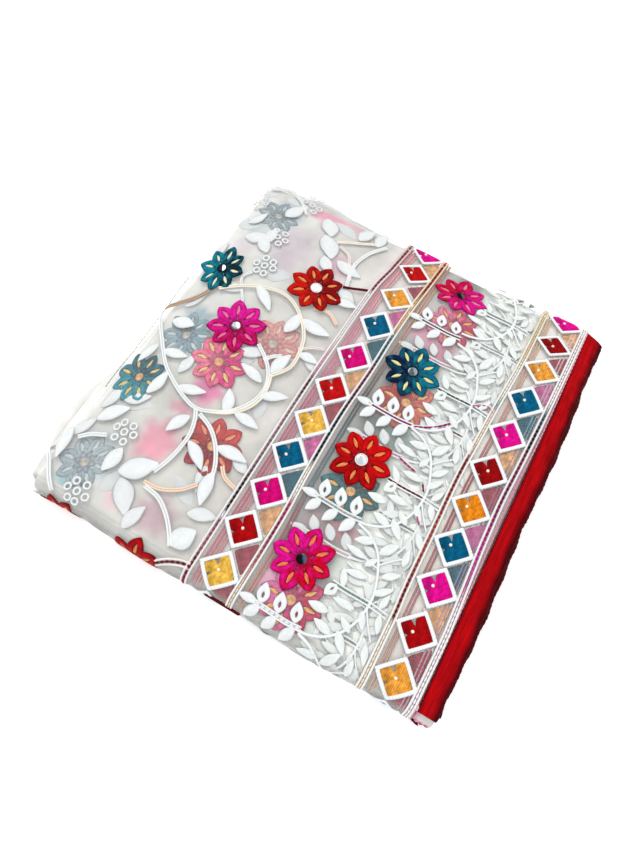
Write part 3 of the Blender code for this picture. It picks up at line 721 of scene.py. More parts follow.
def smooth_path(points, step):
    """A smooth curve through listed points, sampled evenly: places, directions and run."""
    knots = np.array(points, float)
    knots = np.vstack([2 * knots[0] - knots[1], knots, 2 * knots[-1] - knots[-2]])
    pieces = []
    for i in range(1, len(knots) - 2):
        t = np.linspace(0, 1, 24, endpoint=False)[:, None]
        p0, p1, p2, p3 = knots[i - 1 : i + 3]
        pieces.append(0.5 * (2 * p1 + (p2 - p0) * t + (2 * p0 - 5 * p1 + 4 * p2 - p3) * t**2
                             + (3 * p1 - p0 - 3 * p2 + p3) * t**3))
    curve = np.vstack([*pieces, knots[-2:-1]])
    run = np.concatenate([[0], np.cumsum(np.linalg.norm(np.diff(curve, axis=0), axis=1))])
    even = np.linspace(0, run[-1], max(ceil(run[-1] / step), 2) + 1)
    places = abreast(*(np.interp(even, run, curve[:, axis]) for axis in (0, 1)))
    heading = np.gradient(places, axis=0)
    heading /= np.maximum(np.linalg.norm(heading, axis=1, keepdims=True), 1e-9)
    return places, heading, even


def mixed(light, dark, share):
    """Linear colours between dark (share 0) and light (share 1), one for each share."""
    share = np.clip(np.asarray(share, float), 0, 1)[..., None]
    return np.array(dark) * (1 - share) + np.array(light) * share


def dye_stops(stops, place):
    """Colours of a space-dyed thread at places along it."""
    at, colours = zip(*sorted(stops))
    return abreast(*(np.interp(place, at, channel) for channel in zip(*map(linear, colours))))


def dyed_along(stops):
    """A rule for the colours of a thread that is dyed along y."""
    return lambda x, y: dye_stops(stops, y)


def jitter(number, size):
    """A fixed small unevenness for the piece of that number."""
    return size * sin(number * 12.9898 + 4.1414 * sin(number * 3.7))


# ---- Stitched pieces ----
def add_cord(work, points, width, height, colour, link=0.0, offset=0.0, step=0.6, dashes=None):
    """A cord along listed points: plain, beaded like chain stitch, or dashed like running stitch.

    colour is one linear colour, or a rule from (x, y) places to colours.
    """
    places, heading, run = smooth_path(points, step)
    side = abreast(-heading[:, 1], heading[:, 0])
    places = places + side * offset
    last = len(run) - 1

    def place(u, across, up):
        index = np.rint(u * last).astype(int)
        swell = np.ones_like(u)
        if link:
            swell = 0.78 + 0.22 * np.sqrt(np.abs(np.sin(pi * run[index] / link)))
        if dashes:
            phase = (run[index] / dashes["length"]) % 1
            swell = np.clip(np.minimum(phase, 1 - phase) / dashes["gap"], 0.35, 1)
        ends = np.clip(np.minimum(run[index], run[-1] - run[index]) / (width / 2), 0, 1)
        swell = swell * np.sqrt(ends)
        x, y = (places[index] + side[index] * (across * swell * width / 2)[:, None]).T
        dye = colour(x, y) if callable(colour) else np.array(colour)
        # Painted shade: the cord is darker at its sides, where it turns down.
        rim = 0.84 + 0.16 * (1 - np.abs(across) ** 2)
        points_out = abreast(*settled(x, y), height * up * swell)
        return points_out, abreast(run[index], across * width / 2), dye * rim[:, None]

    work.stitch(last, ROUND_SECTION, place)


def add_twins(work, points, apart, width, height, colour, **finish):
    """Two cords side by side along the same points, each that far from them."""
    for offset in (-apart, apart):
        add_cord(work, points, width, height, colour, offset=offset, **finish)


def squeeze(place, rule):
    """How far motifs are drawn in towards a fold, where the cloth ripples and slopes away."""
    return 1 - rule["depth"] * eased((place - rule["start"]) / rule["run"])


def turned(x, y, centre, angle):
    """Places turned by an angle in degrees, moved to a centre, and drawn in towards the folds."""
    turn = radians(angle)
    off_x, off_y = x * cos(turn) - y * sin(turn), x * sin(turn) + y * cos(turn)
    off_x, off_y = off_x * squeeze(-centre[0], LEFT_SQUEEZE), off_y * squeeze(centre[1], BACK_SQUEEZE)
    return centre[0] + off_x, centre[1] + off_y


def leaf_half_width(share):
    """Half the width of a pointed leaf along its length, as a share of its widest."""
    return np.sin(pi * np.clip(share, 0, 1)) ** 0.8 * (1 - 0.2 * (2 * share - 1))


def add_leaf(work, centre, direction, length, width, height, light, dark, bend=0.0, columns=16):
    """A pointed satin-stitched leaf, slightly furrowed along its middle and slightly bent."""

    def place(u, across, up):
        outline = leaf_half_width(u)
        along = (u - 0.5) * length
        off = across * outline * width / 2 + bend * (1 - (2 * u - 1) ** 2)
        rise = height * up * np.clip(outline * 1.6, 0, 1)
        # Painted shade: darker towards the edges, where the satin turns down, and towards the leaf's base.
        edge = 0.75 * np.clip((np.abs(across) - 0.45) / 0.55, 0, 1) ** 1.5
        shade = 1 - edge - 0.25 * np.clip(1 - 2 * u, 0, 1) ** 2
        points = abreast(*turned(along, off, centre, direction), rise)
        return points, abreast(along + np.abs(off) * 0.8, off), mixed(light, dark, shade)

    work.stitch(columns, LEAF_SECTION, place)


def add_eyelet(work, centre, direction, outer, inner, height, dye, columns=40):
    """A satin-stitched shape worked round an opening: outer and inner turn shares round it into places."""

    def place(u, across, up):
        share = (across + 1) / 2
        (outer_x, outer_y), (inner_x, inner_y) = outer(u), inner(u)
        x, y = inner_x + share * (outer_x - inner_x), inner_y + share * (outer_y - inner_y)
        points = abreast(*turned(x, y, centre, direction), height * up)
        return points, abreast(x + np.abs(y) * 0.8, y), dye(u, share)

    work.stitch(columns, BAND_SECTION, place)


def lens(opening, size):
    """A rule for the rim of a pointed opening: its place, half length and half width at that size."""
    at, long, half = (opening[key] * size for key in ("at", "long", "half"))

    def rim(u):
        swing = np.cos(2 * pi * u)
        return at - long * swing, half * np.sign(0.5 - u) * np.abs(np.sin(2 * pi * u)) ** 1.2

    return rim


def petal_rim(scale):
    """A rule for the rim of a petal."""
    root, tip = PETAL_LENGTHWISE[0], PETAL_LENGTHWISE[-1]

    def rim(u):
        x = root + (tip - root) * (1 - np.cos(2 * pi * u)) / 2
        half = np.interp(x, PETAL_LENGTHWISE, PETAL_HALF_WIDTH)
        return x * scale, half * scale * np.sign(0.5 - u)

    return rim


def leaf_rim(length, width):
    """A rule for the rim of a leaf."""

    def rim(u):
        share = (1 - np.cos(2 * pi * u)) / 2
        return (share - 0.5) * length, leaf_half_width(share) * width / 2 * np.sign(0.5 - u)

    return rim


def add_petal(work, centre, direction, scale, height, light, dark, sheen_share, number):
    """One petal: satin stitches worked round a slit, with painted sheen round it and painted shade at both
    its rims and towards the flower's middle.
    """

    def dye(u, share):
        # Painted sheen: bands round the petal where the satin catches the light.
        silky = 0.22 * np.sin(2 * pi * (3 * u + 0.37 * number))
        silky = silky + 0.16 * np.sin(2 * pi * (5 * u + 0.61 * number))
        base = mixed(light, dark, sheen_share + silky)
        # Painted shade at both rims, where the satin turns down, and towards the flower's middle.
        rim = 0.66 * np.clip((share - 0.8) / 0.2, 0, 1) + 0.5 * np.clip((0.2 - share) / 0.2, 0, 1)
        root = 0.3 * np.clip((np.cos(2 * pi * u) - 0.5) / 0.5, 0, 1)
        return base * (1 - rim - root + 0.1 * silky)[:, None]

    add_eyelet(work, centre, direction, petal_rim(scale), lens(SLIT, scale), height, dye)


def add_eyelet_leaf(work, centre, direction, length, width, height, light, dark):
    """A leaf worked round a small oval opening."""

    def dye(u, share):
        # Painted shade: darker towards the outer rim and the opening.
        return mixed(light, dark, 1 - 0.7 * np.clip((np.abs(2 * share - 1) - 0.5) / 0.5, 0, 1) ** 1.5)

    rims = leaf_rim(length, width), lens(EYELET, length)
    add_eyelet(work, centre, direction, *rims, height, dye, columns=32)


def around(angle, reach):
    """Places at a reach from the middle in the direction of an angle."""
    return reach * np.cos(angle), reach * np.sin(angle)


def add_disc(work, centre, radius, height, dye, columns=20, outline=None, base=0.0):
    """A low domed patch, round or with its own outline: a rule from angle to a share of the radius."""

    def place(u, out, up):
        angle = 2 * pi * u
        x, y = around(angle, out * radius * (outline(angle) if outline else 1))
        colours = dye(x / radius, y / radius, out) if callable(dye) else np.array(dye)
        return abreast(*turned(x, y, centre, 0), base + height * up), abreast(x, y), colours

    work.stitch(columns, DOME_SECTION, place)


def add_ring(work, centre, radius, width, height, dye, columns, link):
    """A closed ring of beaded cord."""

    def place(u, across, up):
        angle = 2 * pi * u
        swell = 0.78 + 0.22 * np.abs(np.sin(angle * round(pi * radius / link)))
        x, y = around(angle, radius + across * width / 2 * swell)
        # Painted shade: the ring's cord is darker at its sides, where it turns down.
        rim = (0.75 + 0.25 * (1 - np.abs(across)))[:, None]
        points = abreast(*turned(x, y, centre, 0), height * up * swell)
        return points, abreast(angle * radius, across * width / 2), np.array(dye) * rim

    work.stitch(columns, ROUND_SECTION, place)


# ---- Materials ----
def add_node(tree, kind, settings=None, links=None):
    """One node with its settings, which are its own or its sockets', and its links.

    A link comes from a socket, or from the first output of a node.
    """
    node = tree.nodes.new(f"ShaderNode{kind}")
    for key, value in (settings or {}).items():
        if isinstance(key, str) and hasattr(node, key):
            setattr(node, key, value)
        else:
            node.inputs[key].default_value = value
    for key, source in (links or {}).items():
        tree.links.new(getattr(source, "outputs", [source])[0], node.inputs[key])
    return node


def new_material(name):
    """An empty node material and its tree."""
    material = bpy.data.materials.new(name)
    material.use_nodes = True
    material.node_tree.nodes.clear()
    return material, material.node_tree


def stitched_material(name):
    """A node material, its tree, and the nodes that read a piece's dye and its stitch map."""
    material, tree = new_material(name)
    dye = add_node(tree, "Attribute", {"attribute_name": "dye"})
    return material, tree, dye, add_node(tree, "UVMap", {"uv_map": "stitch_map"})


def wave_scale(pitch):
    """A Wave texture's scale for bands at a pitch, in the units of its coordinates."""
    return 2 * pi / 20 / pitch


def add_surface(tree, colour, settings, links=None):
    """The shader of a material in its colour, joined to the output."""
    shader = add_node(tree, "BsdfPrincipled", settings, {"Base Color": colour, **(links or {})})
    add_node(tree, "OutputMaterial", None, {"Surface": shader})


def add_dyed_surface(tree, dye, depth, relief, bump, settings):
    """The shader of a material whose dye is shaded by a depth, with a bump and perhaps a glow."""
    colour = add_node(tree, "VectorMath", {"operation": "SCALE"}, {0: dye, "Scale": depth})
    strength, distance = bump
    normal = add_node(tree, "Bump", {"Strength": strength, "Distance": distance}, {"Height": relief})
    glow = {"Emission Color": colour} if "Emission Strength" in settings else {}
    add_surface(tree, colour, settings, {"Normal": normal, **glow})


def satin_floss(name, pitch, gloss, relief):
    """Satin-stitched floss: close parallel stitches that catch the light along their length, drawn as painted
    sheen and painted shade in its colour.

    Stitches are drawn about four times as coarse as the real 0.3 mm ones, so that they show.
    """
    material, tree, dye, uv = stitched_material(name)
    stitches = add_node(tree, "TexWave", {"Scale": wave_scale(pitch), "Distortion": 1.6, "Detail": 2.0,
                                          "Detail Scale": 0.7}, {"Vector": uv}).outputs["Fac"]
    stretched = add_node(tree, "Mapping", {"Scale": (0.8, 0.22, 1.0)}, {"Vector": uv})
    strands = add_node(tree, "TexNoise", {"Scale": 1.0, "Detail": 4.0, "Roughness": 0.65},
                       {"Vector": stretched})
    blotches = add_node(tree, "TexNoise", {"Scale": 0.3, "Detail": 2.0, "Roughness": 0.5}, {"Vector": uv})
    # Painted shade in the grooves between the drawn stitches.
    depth = add_node(tree, "MapRange", {"To Min": 0.8, "To Max": 1.0}, {"Value": stitches})
    # Painted sheen: the strands and blotches brighten and darken the floss, partly also the threads' own
    # uneven tone.
    for noise, spread, gain in ((strands, 0.18, 0.12), (blotches, 0.15, 0.2)):
        tone_and_sheen = add_node(tree, "MapRange", {"From Min": 0.5 - spread, "From Max": 0.5 + spread,
                                           "To Min": 1 - relief * 0.5, "To Max": 1 + relief * gain},
                        {"Value": noise})
        depth = add_node(tree, "Math", {"operation": "MULTIPLY"}, {0: depth, 1: tone_and_sheen})
    add_dyed_surface(tree, dye, depth, stitches, (relief * 0.6, 0.0003),
                     {"Roughness": gloss, "Specular IOR Level": 0.04})
    return material


def twisted_cord(name, pitch):
    """Plied cord in chain stitch: slanting plies, matt, with painted shade in the grooves between them."""
    material, tree, dye, uv = stitched_material(name)
    slant = add_node(tree, "Mapping", {"Rotation": (0, 0, radians(38))}, {"Vector": uv})
    plies = add_node(tree, "TexWave", {"Scale": wave_scale(pitch), "Distortion": 0.6},
                     {"Vector": slant}).outputs["Fac"]
    furrow_shade = add_node(tree, "MapRange", {"To Min": 0.84, "To Max": 1.04}, {"Value": plies})
    add_dyed_surface(tree, dye, furrow_shade, plies, (0.35, 0.0003),
                     {"Roughness": 0.7, "Specular IOR Level": 0.08})
    return material


def sheer_organza(name, cloth, cover):
    """Plain-woven sheer organza: fine crisp threads with air between them, and a dry silky sheen.

    The threads are drawn about four times as coarse as the real 0.25 mm ones, so that they show.
    """
    material, tree, thick, uv = stitched_material(name)
    warp, weft = (
        add_node(tree, "TexWave", {"bands_direction": direction, "Scale": wave_scale(cloth.weave_pitch / MM),
                                   "Distortion": 1.2, "Detail": 2.0, "Detail Scale": 0.4}, {"Vector": uv})
        for direction in ("X", "Y")
    )
    weave = add_node(tree, "Math", {"operation": "MAXIMUM"}, {0: warp.outputs["Fac"], 1: weft.outputs["Fac"]})
    slubs = add_node(tree, "TexNoise", {"Scale": 0.035, "Detail": 5.0, "Roughness": 0.6}, {"Vector": uv})
    woven = add_node(tree, "MapRange", {"To Min": 0.82, "To Max": 1.12}, {"Value": weave})
    slubbed = add_node(tree, "MapRange", {"From Min": 0.3, "From Max": 0.7, "To Min": 0.78, "To Max": 1.22},
                       {"Value": slubs})
    uneven = add_node(tree, "Math", {"operation": "MULTIPLY"}, {0: woven, 1: slubbed})
    dense = add_node(tree, "Math", {"operation": "MULTIPLY", 1: cover}, {0: uneven})
    layers = thick.outputs["Fac"]
    folded = add_node(tree, "Math", {"operation": "MULTIPLY", "use_clamp": True}, {0: dense, 1: layers})
    # Painted shade: where the cover is thickest, inside the front fold, the cloth's colour darkens.
    shade = add_node(tree, "MapRange", {"From Min": 2.0, "From Max": 8.0, "To Min": 1.0, "To Max": 0.6},
                     {"Value": layers})
    tint = add_node(tree, "VectorMath", {"operation": "SCALE", 0: cloth.colour}, {"Scale": shade})
    bump = add_node(tree, "Bump", {"Strength": 0.25, "Distance": 0.0002}, {"Height": weave})
    shader = add_node(tree, "BsdfPrincipled",
                      {"Roughness": 0.5, "Specular IOR Level": 0.4, "Sheen Weight": 0.35,
                       "Sheen Roughness": 0.35}, {"Base Color": tint, "Normal": bump})
    air = add_node(tree, "BsdfTransparent")
    mix = add_node(tree, "MixShader", None, {0: folded, 1: air, 2: shader})
    add_node(tree, "OutputMaterial", None, {"Surface": mix})
    return material


def folded_organza(name):
    """Many sheer layers lying together: clouded from above with painted shade of their folds, and with fine
    pale and dark lines at the folds.

    A faint glow stands for the light that the layers pass on to one another.
    """
    material, tree, dye, uv = stitched_material(name)
    place = add_node(tree, "TexCoord").outputs["Object"]
    clouds = add_node(tree, "TexNoise", {"Scale": 30.0, "Detail": 7.0, "Roughness": 0.62}, {"Vector": place})
    layers = add_node(tree, "TexWave", {"bands_direction": "Y", "Scale": wave_scale(0.6), "Distortion": 1.5,
                                        "Detail": 2.0, "Detail Scale": 0.1}, {"Vector": uv}).outputs["Fac"]
    # Painted shade: the clouds are pale and grey patches standing for the folds of the layers beneath.
    cloud_shade = add_node(tree, "MapRange", {"From Min": 0.3, "From Max": 0.7, "To Min": 0.78, "To Max": 1.2},
                      {"Value": clouds})
    lines = add_node(tree, "MapRange", {"To Min": 0.9, "To Max": 1.04}, {"Value": layers})
    depth = add_node(tree, "Math", {"operation": "MULTIPLY"}, {0: cloud_shade, 1: lines})
    add_dyed_surface(tree, dye, depth, layers, (0.3, 0.0006),
                     {"Roughness": 0.6, "Specular IOR Level": 0.3, "Sheen Weight": 0.3,
                      "Emission Strength": 0.15})
    return material


def ribbed_edging(name, edging):
    """Ribbed satin edging: lengthwise ribs with a soft gloss, with a painted highlight along each rib's top
    and painted shade between the ribs.
    """
    material, tree, dye, uv = stitched_material(name)
    stretched = add_node(tree, "Mapping", {"Scale": (0.12, 1.0, 1.0)}, {"Vector": uv})
    ribs = add_node(tree, "TexWave", {"bands_direction": "Y", "Scale": wave_scale(edging.rib_pitch / MM),
                                      "Distortion": 2.2, "Detail": 3.0, "Detail Scale": 0.5},
                    {"Vector": stretched}).outputs["Fac"]
    pile = add_node(tree, "TexNoise", {"Scale": 0.42, "Detail": 6.0, "Roughness": 0.6}, {"Vector": stretched})
    folds = add_node(tree, "MapRange", {"From Min": 0.35, "From Max": 0.65, "To Min": 0.0, "To Max": 1.4},
                     {"Value": pile})
    height = add_node(tree, "Math", {"operation": "ADD"}, {0: ribs, 1: folds})
    crown_light_and_shade = add_node(tree, "MapRange", {"From Min": 0.3, "From Max": 2.0, "To Min": 0.6, "To Max": 1.25},
                      {"Value": height})
    add_dyed_surface(tree, dye, crown_light_and_shade, height, (0.45, 0.0005),
                     {"Roughness": 0.75, "Specular IOR Level": 0.05})
    return material


def mirror_glass(name):
    """Hand-cut mirror glass: slightly wavy, silvered behind, its colour a painted reflection of what stands
    over it.
    """
    material, tree, dye, uv = stitched_material(name)
    ripples = add_node(tree, "TexNoise", {"Scale": 0.5, "Detail": 2.0}, {"Vector": uv})
    bump = add_node(tree, "Bump", {"Strength": 0.3, "Distance": 0.0006}, {"Height": ripples})
    add_surface(tree, dye, {"Metallic": 1.0, "Roughness": 0.14}, {"Normal": bump})
    return material


def pearl_bead(name, colour):
    """Moulded pearl bead: glossy with a milky depth."""
    material, tree = new_material(name)
    place = add_node(tree, "TexCoord").outputs["Object"]
    milk = add_node(tree, "TexNoise", {"Scale": 900.0, "Detail": 2.0}, {"Vector": place})
    depth = add_node(tree, "MapRange", {"To Min": 0.86, "To Max": 1.08}, {"Value": milk})
    tint = add_node(tree, "VectorMath", {"operation": "SCALE", 0: colour}, {"Scale": depth})
    add_surface(tree, tint, {"Roughness": 0.22, "Coat Weight": 0.6, "Coat Roughness": 0.1,
                             "Subsurface Weight": 0.15, "Subsurface Scale": 0.001})
    return material


def material_named(name, make, *settings):
    """The material of that name, made the first time it is asked for."""
    return bpy.data.materials.get(name) or make(name, *settings)


def floss(name="silk floss, satin stitched", gloss=0.45, relief=0.6):
    """The floss of petals, fills and leaves."""
    pitch = bpy.context.scene.shawl_embroidery.stitch_pitch / MM
    return material_named(name, satin_floss, pitch, gloss, relief)


def white_floss():
    """The cotton floss of white leaves."""
    return floss("cotton floss, satin stitched", 0.65, 0.12)


def cord_thread():
    """The plied thread of cords and vines."""
    return material_named("plied thread, chain stitched", twisted_cord, 1.3)


def wide_cord():
    """The thick couched cord of the diamonds' frames."""
    return material_named("thick cotton cord, couched", twisted_cord, 1.7)


def folded_cloth():
    """Many sheer layers together."""
    return material_named("folded organza, many layers", folded_organza)


def ribbed_satin(edging):
    """The ribbed satin of the red edgings."""
    return material_named("ribbed satin edging", ribbed_edging, edging)


# ---- The hidden layers ----
# Folds on the free sides and their notches' depth, stations along a side and round a corner, rows to a
# fold, how far a corner draws in, and how much further down the stretches hide them there.
FOLDED = {"folds": 9, "notch": 1.9, "side": 130, "corner": 14, "fold_rows": 5, "ease": 0.45, "drop": 14.0}
FOLDED_MIDDLE = (-5.0, 9.0)
# The waves along each fold: height, length and turn from one fold to the next.
FOLDED_RIPPLES = ((0.9, 21, 2.3), (0.6, 9.5, 4.1))
# Shares in to the middle of the top, where its rings of faces lie.
TOP_SHARES = (0.985, 0.96, 0.92, 0.87, 0.8, 0.7, 0.58, 0.44, 0.28, 0.12, 0.0)


def perimeter():
    """Stations round the hidden layers in plan, each with its outward direction."""
    right, front, left, back = SEAM_X - 0.3, FLAT_FRONT, FLAT_LEFT + 1.4, FLAT_BACK - 1.4
    corners = ((right, front, -90), (right, back, 0), (left, back, 90), (left, front, 180))
    rows = []
    for number, (x, y, start) in enumerate(corners):
        for step in range(FOLDED["corner"]):
            angle = radians(start + 90 * step / (FOLDED["corner"] - 1))
            rows.append((x, y, cos(angle), sin(angle)))
        next_x, next_y, _ = corners[(number + 1) % 4]
        angle = radians(start + 90)
        for step in range(1, FOLDED["side"]):
            share = step / FOLDED["side"]
            rows.append((x + share * (next_x - x), y + share * (next_y - y), cos(angle), sin(angle)))
    rows.append(rows[0])
    return np.array(rows).T


def folded_reach(x, y, out_x, out_y, height):
    """How far the hidden layers reach outward at a height: inside the stretches, free below them."""
    left = np.where(out_x > 0, 0, out_x**2)
    front = np.where(out_x > 0, out_y < 0, np.maximum(-out_y, 0) ** 2)
    back = np.where(out_x > 0, out_y > 0, np.maximum(out_y, 0) ** 2)
    half = blended(left, front, back, "rise")
    rise = np.maximum(half - CORE_INSET, 0.1)
    above = height - STACK_HEIGHT + half
    ease = 1 - FOLDED["ease"] * 4 * left * (front + back)
    snug = ease * np.maximum(blended(left, front, back, "reach") - CORE_INSET + 1.2 * (front + back), 0)
    snug = snug * np.sqrt(np.maximum(1 - (above / rise) ** 2, 0))
    number, nose = soft_folds(height / CORE_SHOULDER, FOLDED["folds"], 2.2)
    uneven = ripple(x + y, number, FOLDED_RIPPLES) + 0.8 * np.sin(number * 5.3)
    fullness = np.sin(pi * (0.1 + 0.8 * np.minimum(height / CORE_SHOULDER, 1)))
    free = left * (LEFT_FOLD["reach"] + bell(y, LEFT_BULGE) * fullness)
    free = free + back * (BACK_FOLD["reach"] + bell(x, BACK_BULGE) * fullness * 0.4)
    free = np.maximum(free + (left + back) * (uneven - FOLDED["notch"] * (1 - nose)), 0)
    shoulder = STACK_HEIGHT - 2 * half - 0.6 - FOLDED["drop"] * left * front
    reach = np.where(above > -rise, snug, np.where(height >= shoulder, 0, free))
    swing = np.minimum(reach / FRONT_FOLD["reach"], 1)
    shift_x = -left * wave(y, LEFT_WAVE) * swing
    shift_y = (back * bell(x, BACK_BULGE) - front * wave(x, FRONT_WAVE)) * swing
    return x + np.minimum(out_x, 0) * reach + shift_x, y + out_y * reach + shift_y


def folded_levels():
    """Heights up the hidden layers, then shares in to the middle of their top, as pairs."""
    count = FOLDED["folds"] * FOLDED["fold_rows"]
    top = STACK_HEIGHT - CORE_INSET
    levels = [(0.0, 0.0), (0.0, 0.7)]
    levels += [(CORE_SHOULDER * step / count, 1.0) for step in range(count + 1)]
    levels += [(CORE_SHOULDER + (top - CORE_SHOULDER) * share, 1.0) for share in (0.2, 0.5, 0.8, 1.0)]
    return np.array(levels + [(top, share) for share in TOP_SHARES]).T


def make_folded_layers(cloth):
    """The hidden layers: one rounded body, layered at the left and the back."""
    stations = perimeter()
    heights, shares = folded_levels()
    columns, rows = stations.shape[1] - 1, len(heights) - 1
    middle_x, middle_y = FOLDED_MIDDLE

    def place(u, v):
        x, y, out_x, out_y = stations[:, np.rint(u * columns).astype(int)]
        level = np.rint(v * rows).astype(int)
        height, share = heights[level], shares[level]
        rim_x, rim_y = folded_reach(x, y, out_x, out_y, height)
        x, y = middle_x + share * (rim_x - middle_x), middle_y + share * (rim_y - middle_y)
        on_top = height >= STACK_HEIGHT - CORE_INSET - 1e-6
        lift = np.where(on_top, crease_height(x, y, LARGE_CREASES), 0) * eased((1 - share) / 0.08)
        sunk = 0.5 * eased((1 - share) / 0.05) * on_top
        points = abreast(x, y, sagged(x, y, height + lift - sunk))
        dye = mixed(cloth.folds, dye_stops(STACK_TINTS_AND_SHADE, x), eased((CORE_SHOULDER + 1.5 - height) / 2.0))
        # Painted shade: inside the front fold the layers take the darker front colour.
        dye = mixed(cloth.front, dye, eased((FLAT_FRONT + 1 - y) / 2.0) * (height > 2))
        # The map runs round the layers one way and up them the other, and stands still on their top.
        return points, abreast(np.where(on_top, 0, u * 1100), height), dye

    layers = sew_patch("hidden_layers", columns, rows, place, folded_cloth(), "folded_organza", merge=0.02)
    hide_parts("folded_layers")


# ---- The sheer stretches ----
def make_stretch(name, node, inset, cloth, step, arcs):
    """One sheer stretch over the top and round its folds, with its drawn weave laid on its own plan."""
    left, front, back = FLAT_LEFT - arcs[0], FLAT_FRONT - arcs[1], FLAT_BACK + arcs[2]
    right = SEAM_X - (0.8 if inset else 0.0)
    columns, rows = round((right - left) / step), round((back - front) / step)

    def place(u, v):
        a, b = left + u * (right - left), front + v * (back - front)
        past_left, past_front, past_back = FLAT_LEFT - a, FLAT_FRONT - b, b - FLAT_BACK
        corner = np.minimum(np.maximum(past_left, 0), np.maximum(past_front, 0) + np.maximum(past_back, 0))
        over = np.maximum(eased(past_left / 5), np.maximum(eased(past_front / 12), eased(past_back / 5)))
        # Past the front fold, whose layers lie one in another, the cloth looks milky, with fine lines; the
        # material also darkens it there, as painted shade.
        fine = 0.14 * np.sin(1.1 * b + 1.3 * np.sin(a / 31) + 0.7 * np.sin(a / 13))
        lines = 1 - fine - 0.1 * np.sin(0.63 * b - a / 47)
        milky = 7 * lines * eased((FLAT_FRONT - b - 5) / 9) * eased((a - FLAT_LEFT - 1) / 8)
        cover = 1 + 0.9 * over + 0.02 * corner + milky
        return stack_point(a, b, inset), abreast(a, b), abreast(cover, cover, cover)

    cover = 1 - (1 - cloth.cover) ** 0.5
    material = material_named(f"sheer organza, {name}", sheer_organza, cloth, cover)
    stretch = sew_patch(name, columns, rows, place, material, "organza")
    add_wall(stretch, cloth.thickness)
    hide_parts(node)
    return stretch, ((right - left) * MM, (back - front) * MM)


# ---- The red edgings ----
def edging_edge(y, start):
    """The wandering of an edging's outer edge along its length."""
    return sum(height * np.sin(2 * pi * (y - start) / length) for length, height in EDGING_WAVES)


def make_edging(row, order, edging):
    """One red edging: a ribbed band beside the seam, gathered along it and drooping at its outer edge."""
    node, full_width, front, back, wave_start = row
    top = STACK_HEIGHT - order * EDGING_PITCH

    def place(u, v):
        share, down = section(v, EDGING_SECTION)
        y = front + u * (back - share * EDGING_BACK_SLANT - front)
        scallop = EDGING_SCALLOP["depth"] * np.abs(np.sin(pi * y / EDGING_SCALLOP["pitch"] + order))
        width = full_width + edging_edge(y, wave_start) + scallop
        x = SEAM_X + 0.3 + share * width
        droop = np.maximum((x - SEAM_X - EDGING_DROOP["starts"]) / EDGING_DROOP["over"], 0) ** 2
        droop = EDGING_DROOP["depth"] * droop
        gather = sum(height * np.sin(2 * pi * (y + 3.1 * share) / pitch + 1.7 * order)
                     for pitch, height in EDGING_GATHERS)
        gather = gather * np.clip(share * 2.5, 0, 1) * (down > -0.6)
        z = sagged(x, y, top - droop + EDGING_WALL * down + gather * (1 if order == 0 else 0.4))
        # Painted shade: darker at the outer rim, where the edging droops away, beside the seam, in the
        # valleys, and on edgings below the top one.
        rim = eased((share - 0.56) / 0.36) + eased((0.18 - share) / 0.18) * 0.55
        streak = sum(strength * ridge(share, at, spread) for strength, at, spread in EDGING_STREAKS)
        valley = ridge(share, 0.7 + 0.05 * np.sin(y / 31), 0.05) * (0.5 + 0.5 * np.sin(y / 27 + 2))
        valley = valley + 0.6 * ridge(share, 0.42 + 0.06 * np.sin(y / 23), 0.05) * np.sin(y / 41) ** 2
        shade = rim + streak + 0.12 * np.sin(y / 17 + share * 4) ** 2 + 0.25 * (order > 0) + 0.4 * valley
        return abreast(x, y, z), abreast(y, share * width), mixed(edging.shade, edging.colour, shade)

    rows = len(EDGING_SECTION[0]) - 1
    made = sew_patch(f"edging_{order + 1}", 240, rows, place, ribbed_satin(edging), "red_edging", merge=0.01)
    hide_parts(node)


def make_hidden_edgings(edging):
    """The edgings under those that show: one body with a row of soft folds on its right side."""
    left, right, top = BLOCK["left"], BLOCK["right"], BLOCK["top"]

    def place(u, v):
        y = BLOCK["front"] + u * (BLOCK["back"] - BLOCK["front"])
        # Up the outer side, across the top, down beside the hidden layers, and back underneath.
        top_start, top_end, bottom_start = 0.7, 0.8, 0.9
        up = np.clip(v / top_start, 0, 1)
        number, nose = soft_folds(up, BLOCK["folds"], 2.4)
        reach = BLOCK["reach"] - BLOCK["notch"] * (1 - nose) + ripple(y, number, BLOCK_RIPPLES)
        reach = reach + edging_edge(y, 12 * number)
        outer = right + reach - 2.2 * eased((up - 0.8) / 0.2)
        bottom = right + BLOCK["reach"] - BLOCK["notch"] + edging_edge(y, 0)
        across = outer + (left - outer) * (v - top_start) / 0.1
        under = left + (bottom - left) * (v - bottom_start) / 0.1
        x = np.select([v <= top_start, v <= top_end, v <= bottom_start], [outer, across, left], under)
        height = np.where(v > top_end, top * np.clip(1 - (v - top_end) / 0.1, 0, 1), top * up)
        at_end = np.minimum(u, 1 - u) <= 0
        x, height = np.where(at_end, left + 4, x), np.where(at_end, top / 2, height)
        points = abreast(x, y, sagged(x, y, np.maximum(height, 0)))
        # Painted shade: the hidden edgings are mostly the shaded red, darkest in the notches between their
        # folds.
        return points, abreast(y, v * 40), mixed(edging.colour, edging.shade, 0.25 + 0.5 * nose)

    made = sew_patch("hidden_edgings", 200, 72, place, ribbed_satin(edging), "red_edging", merge=0.01)
    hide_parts("folded_edgings")


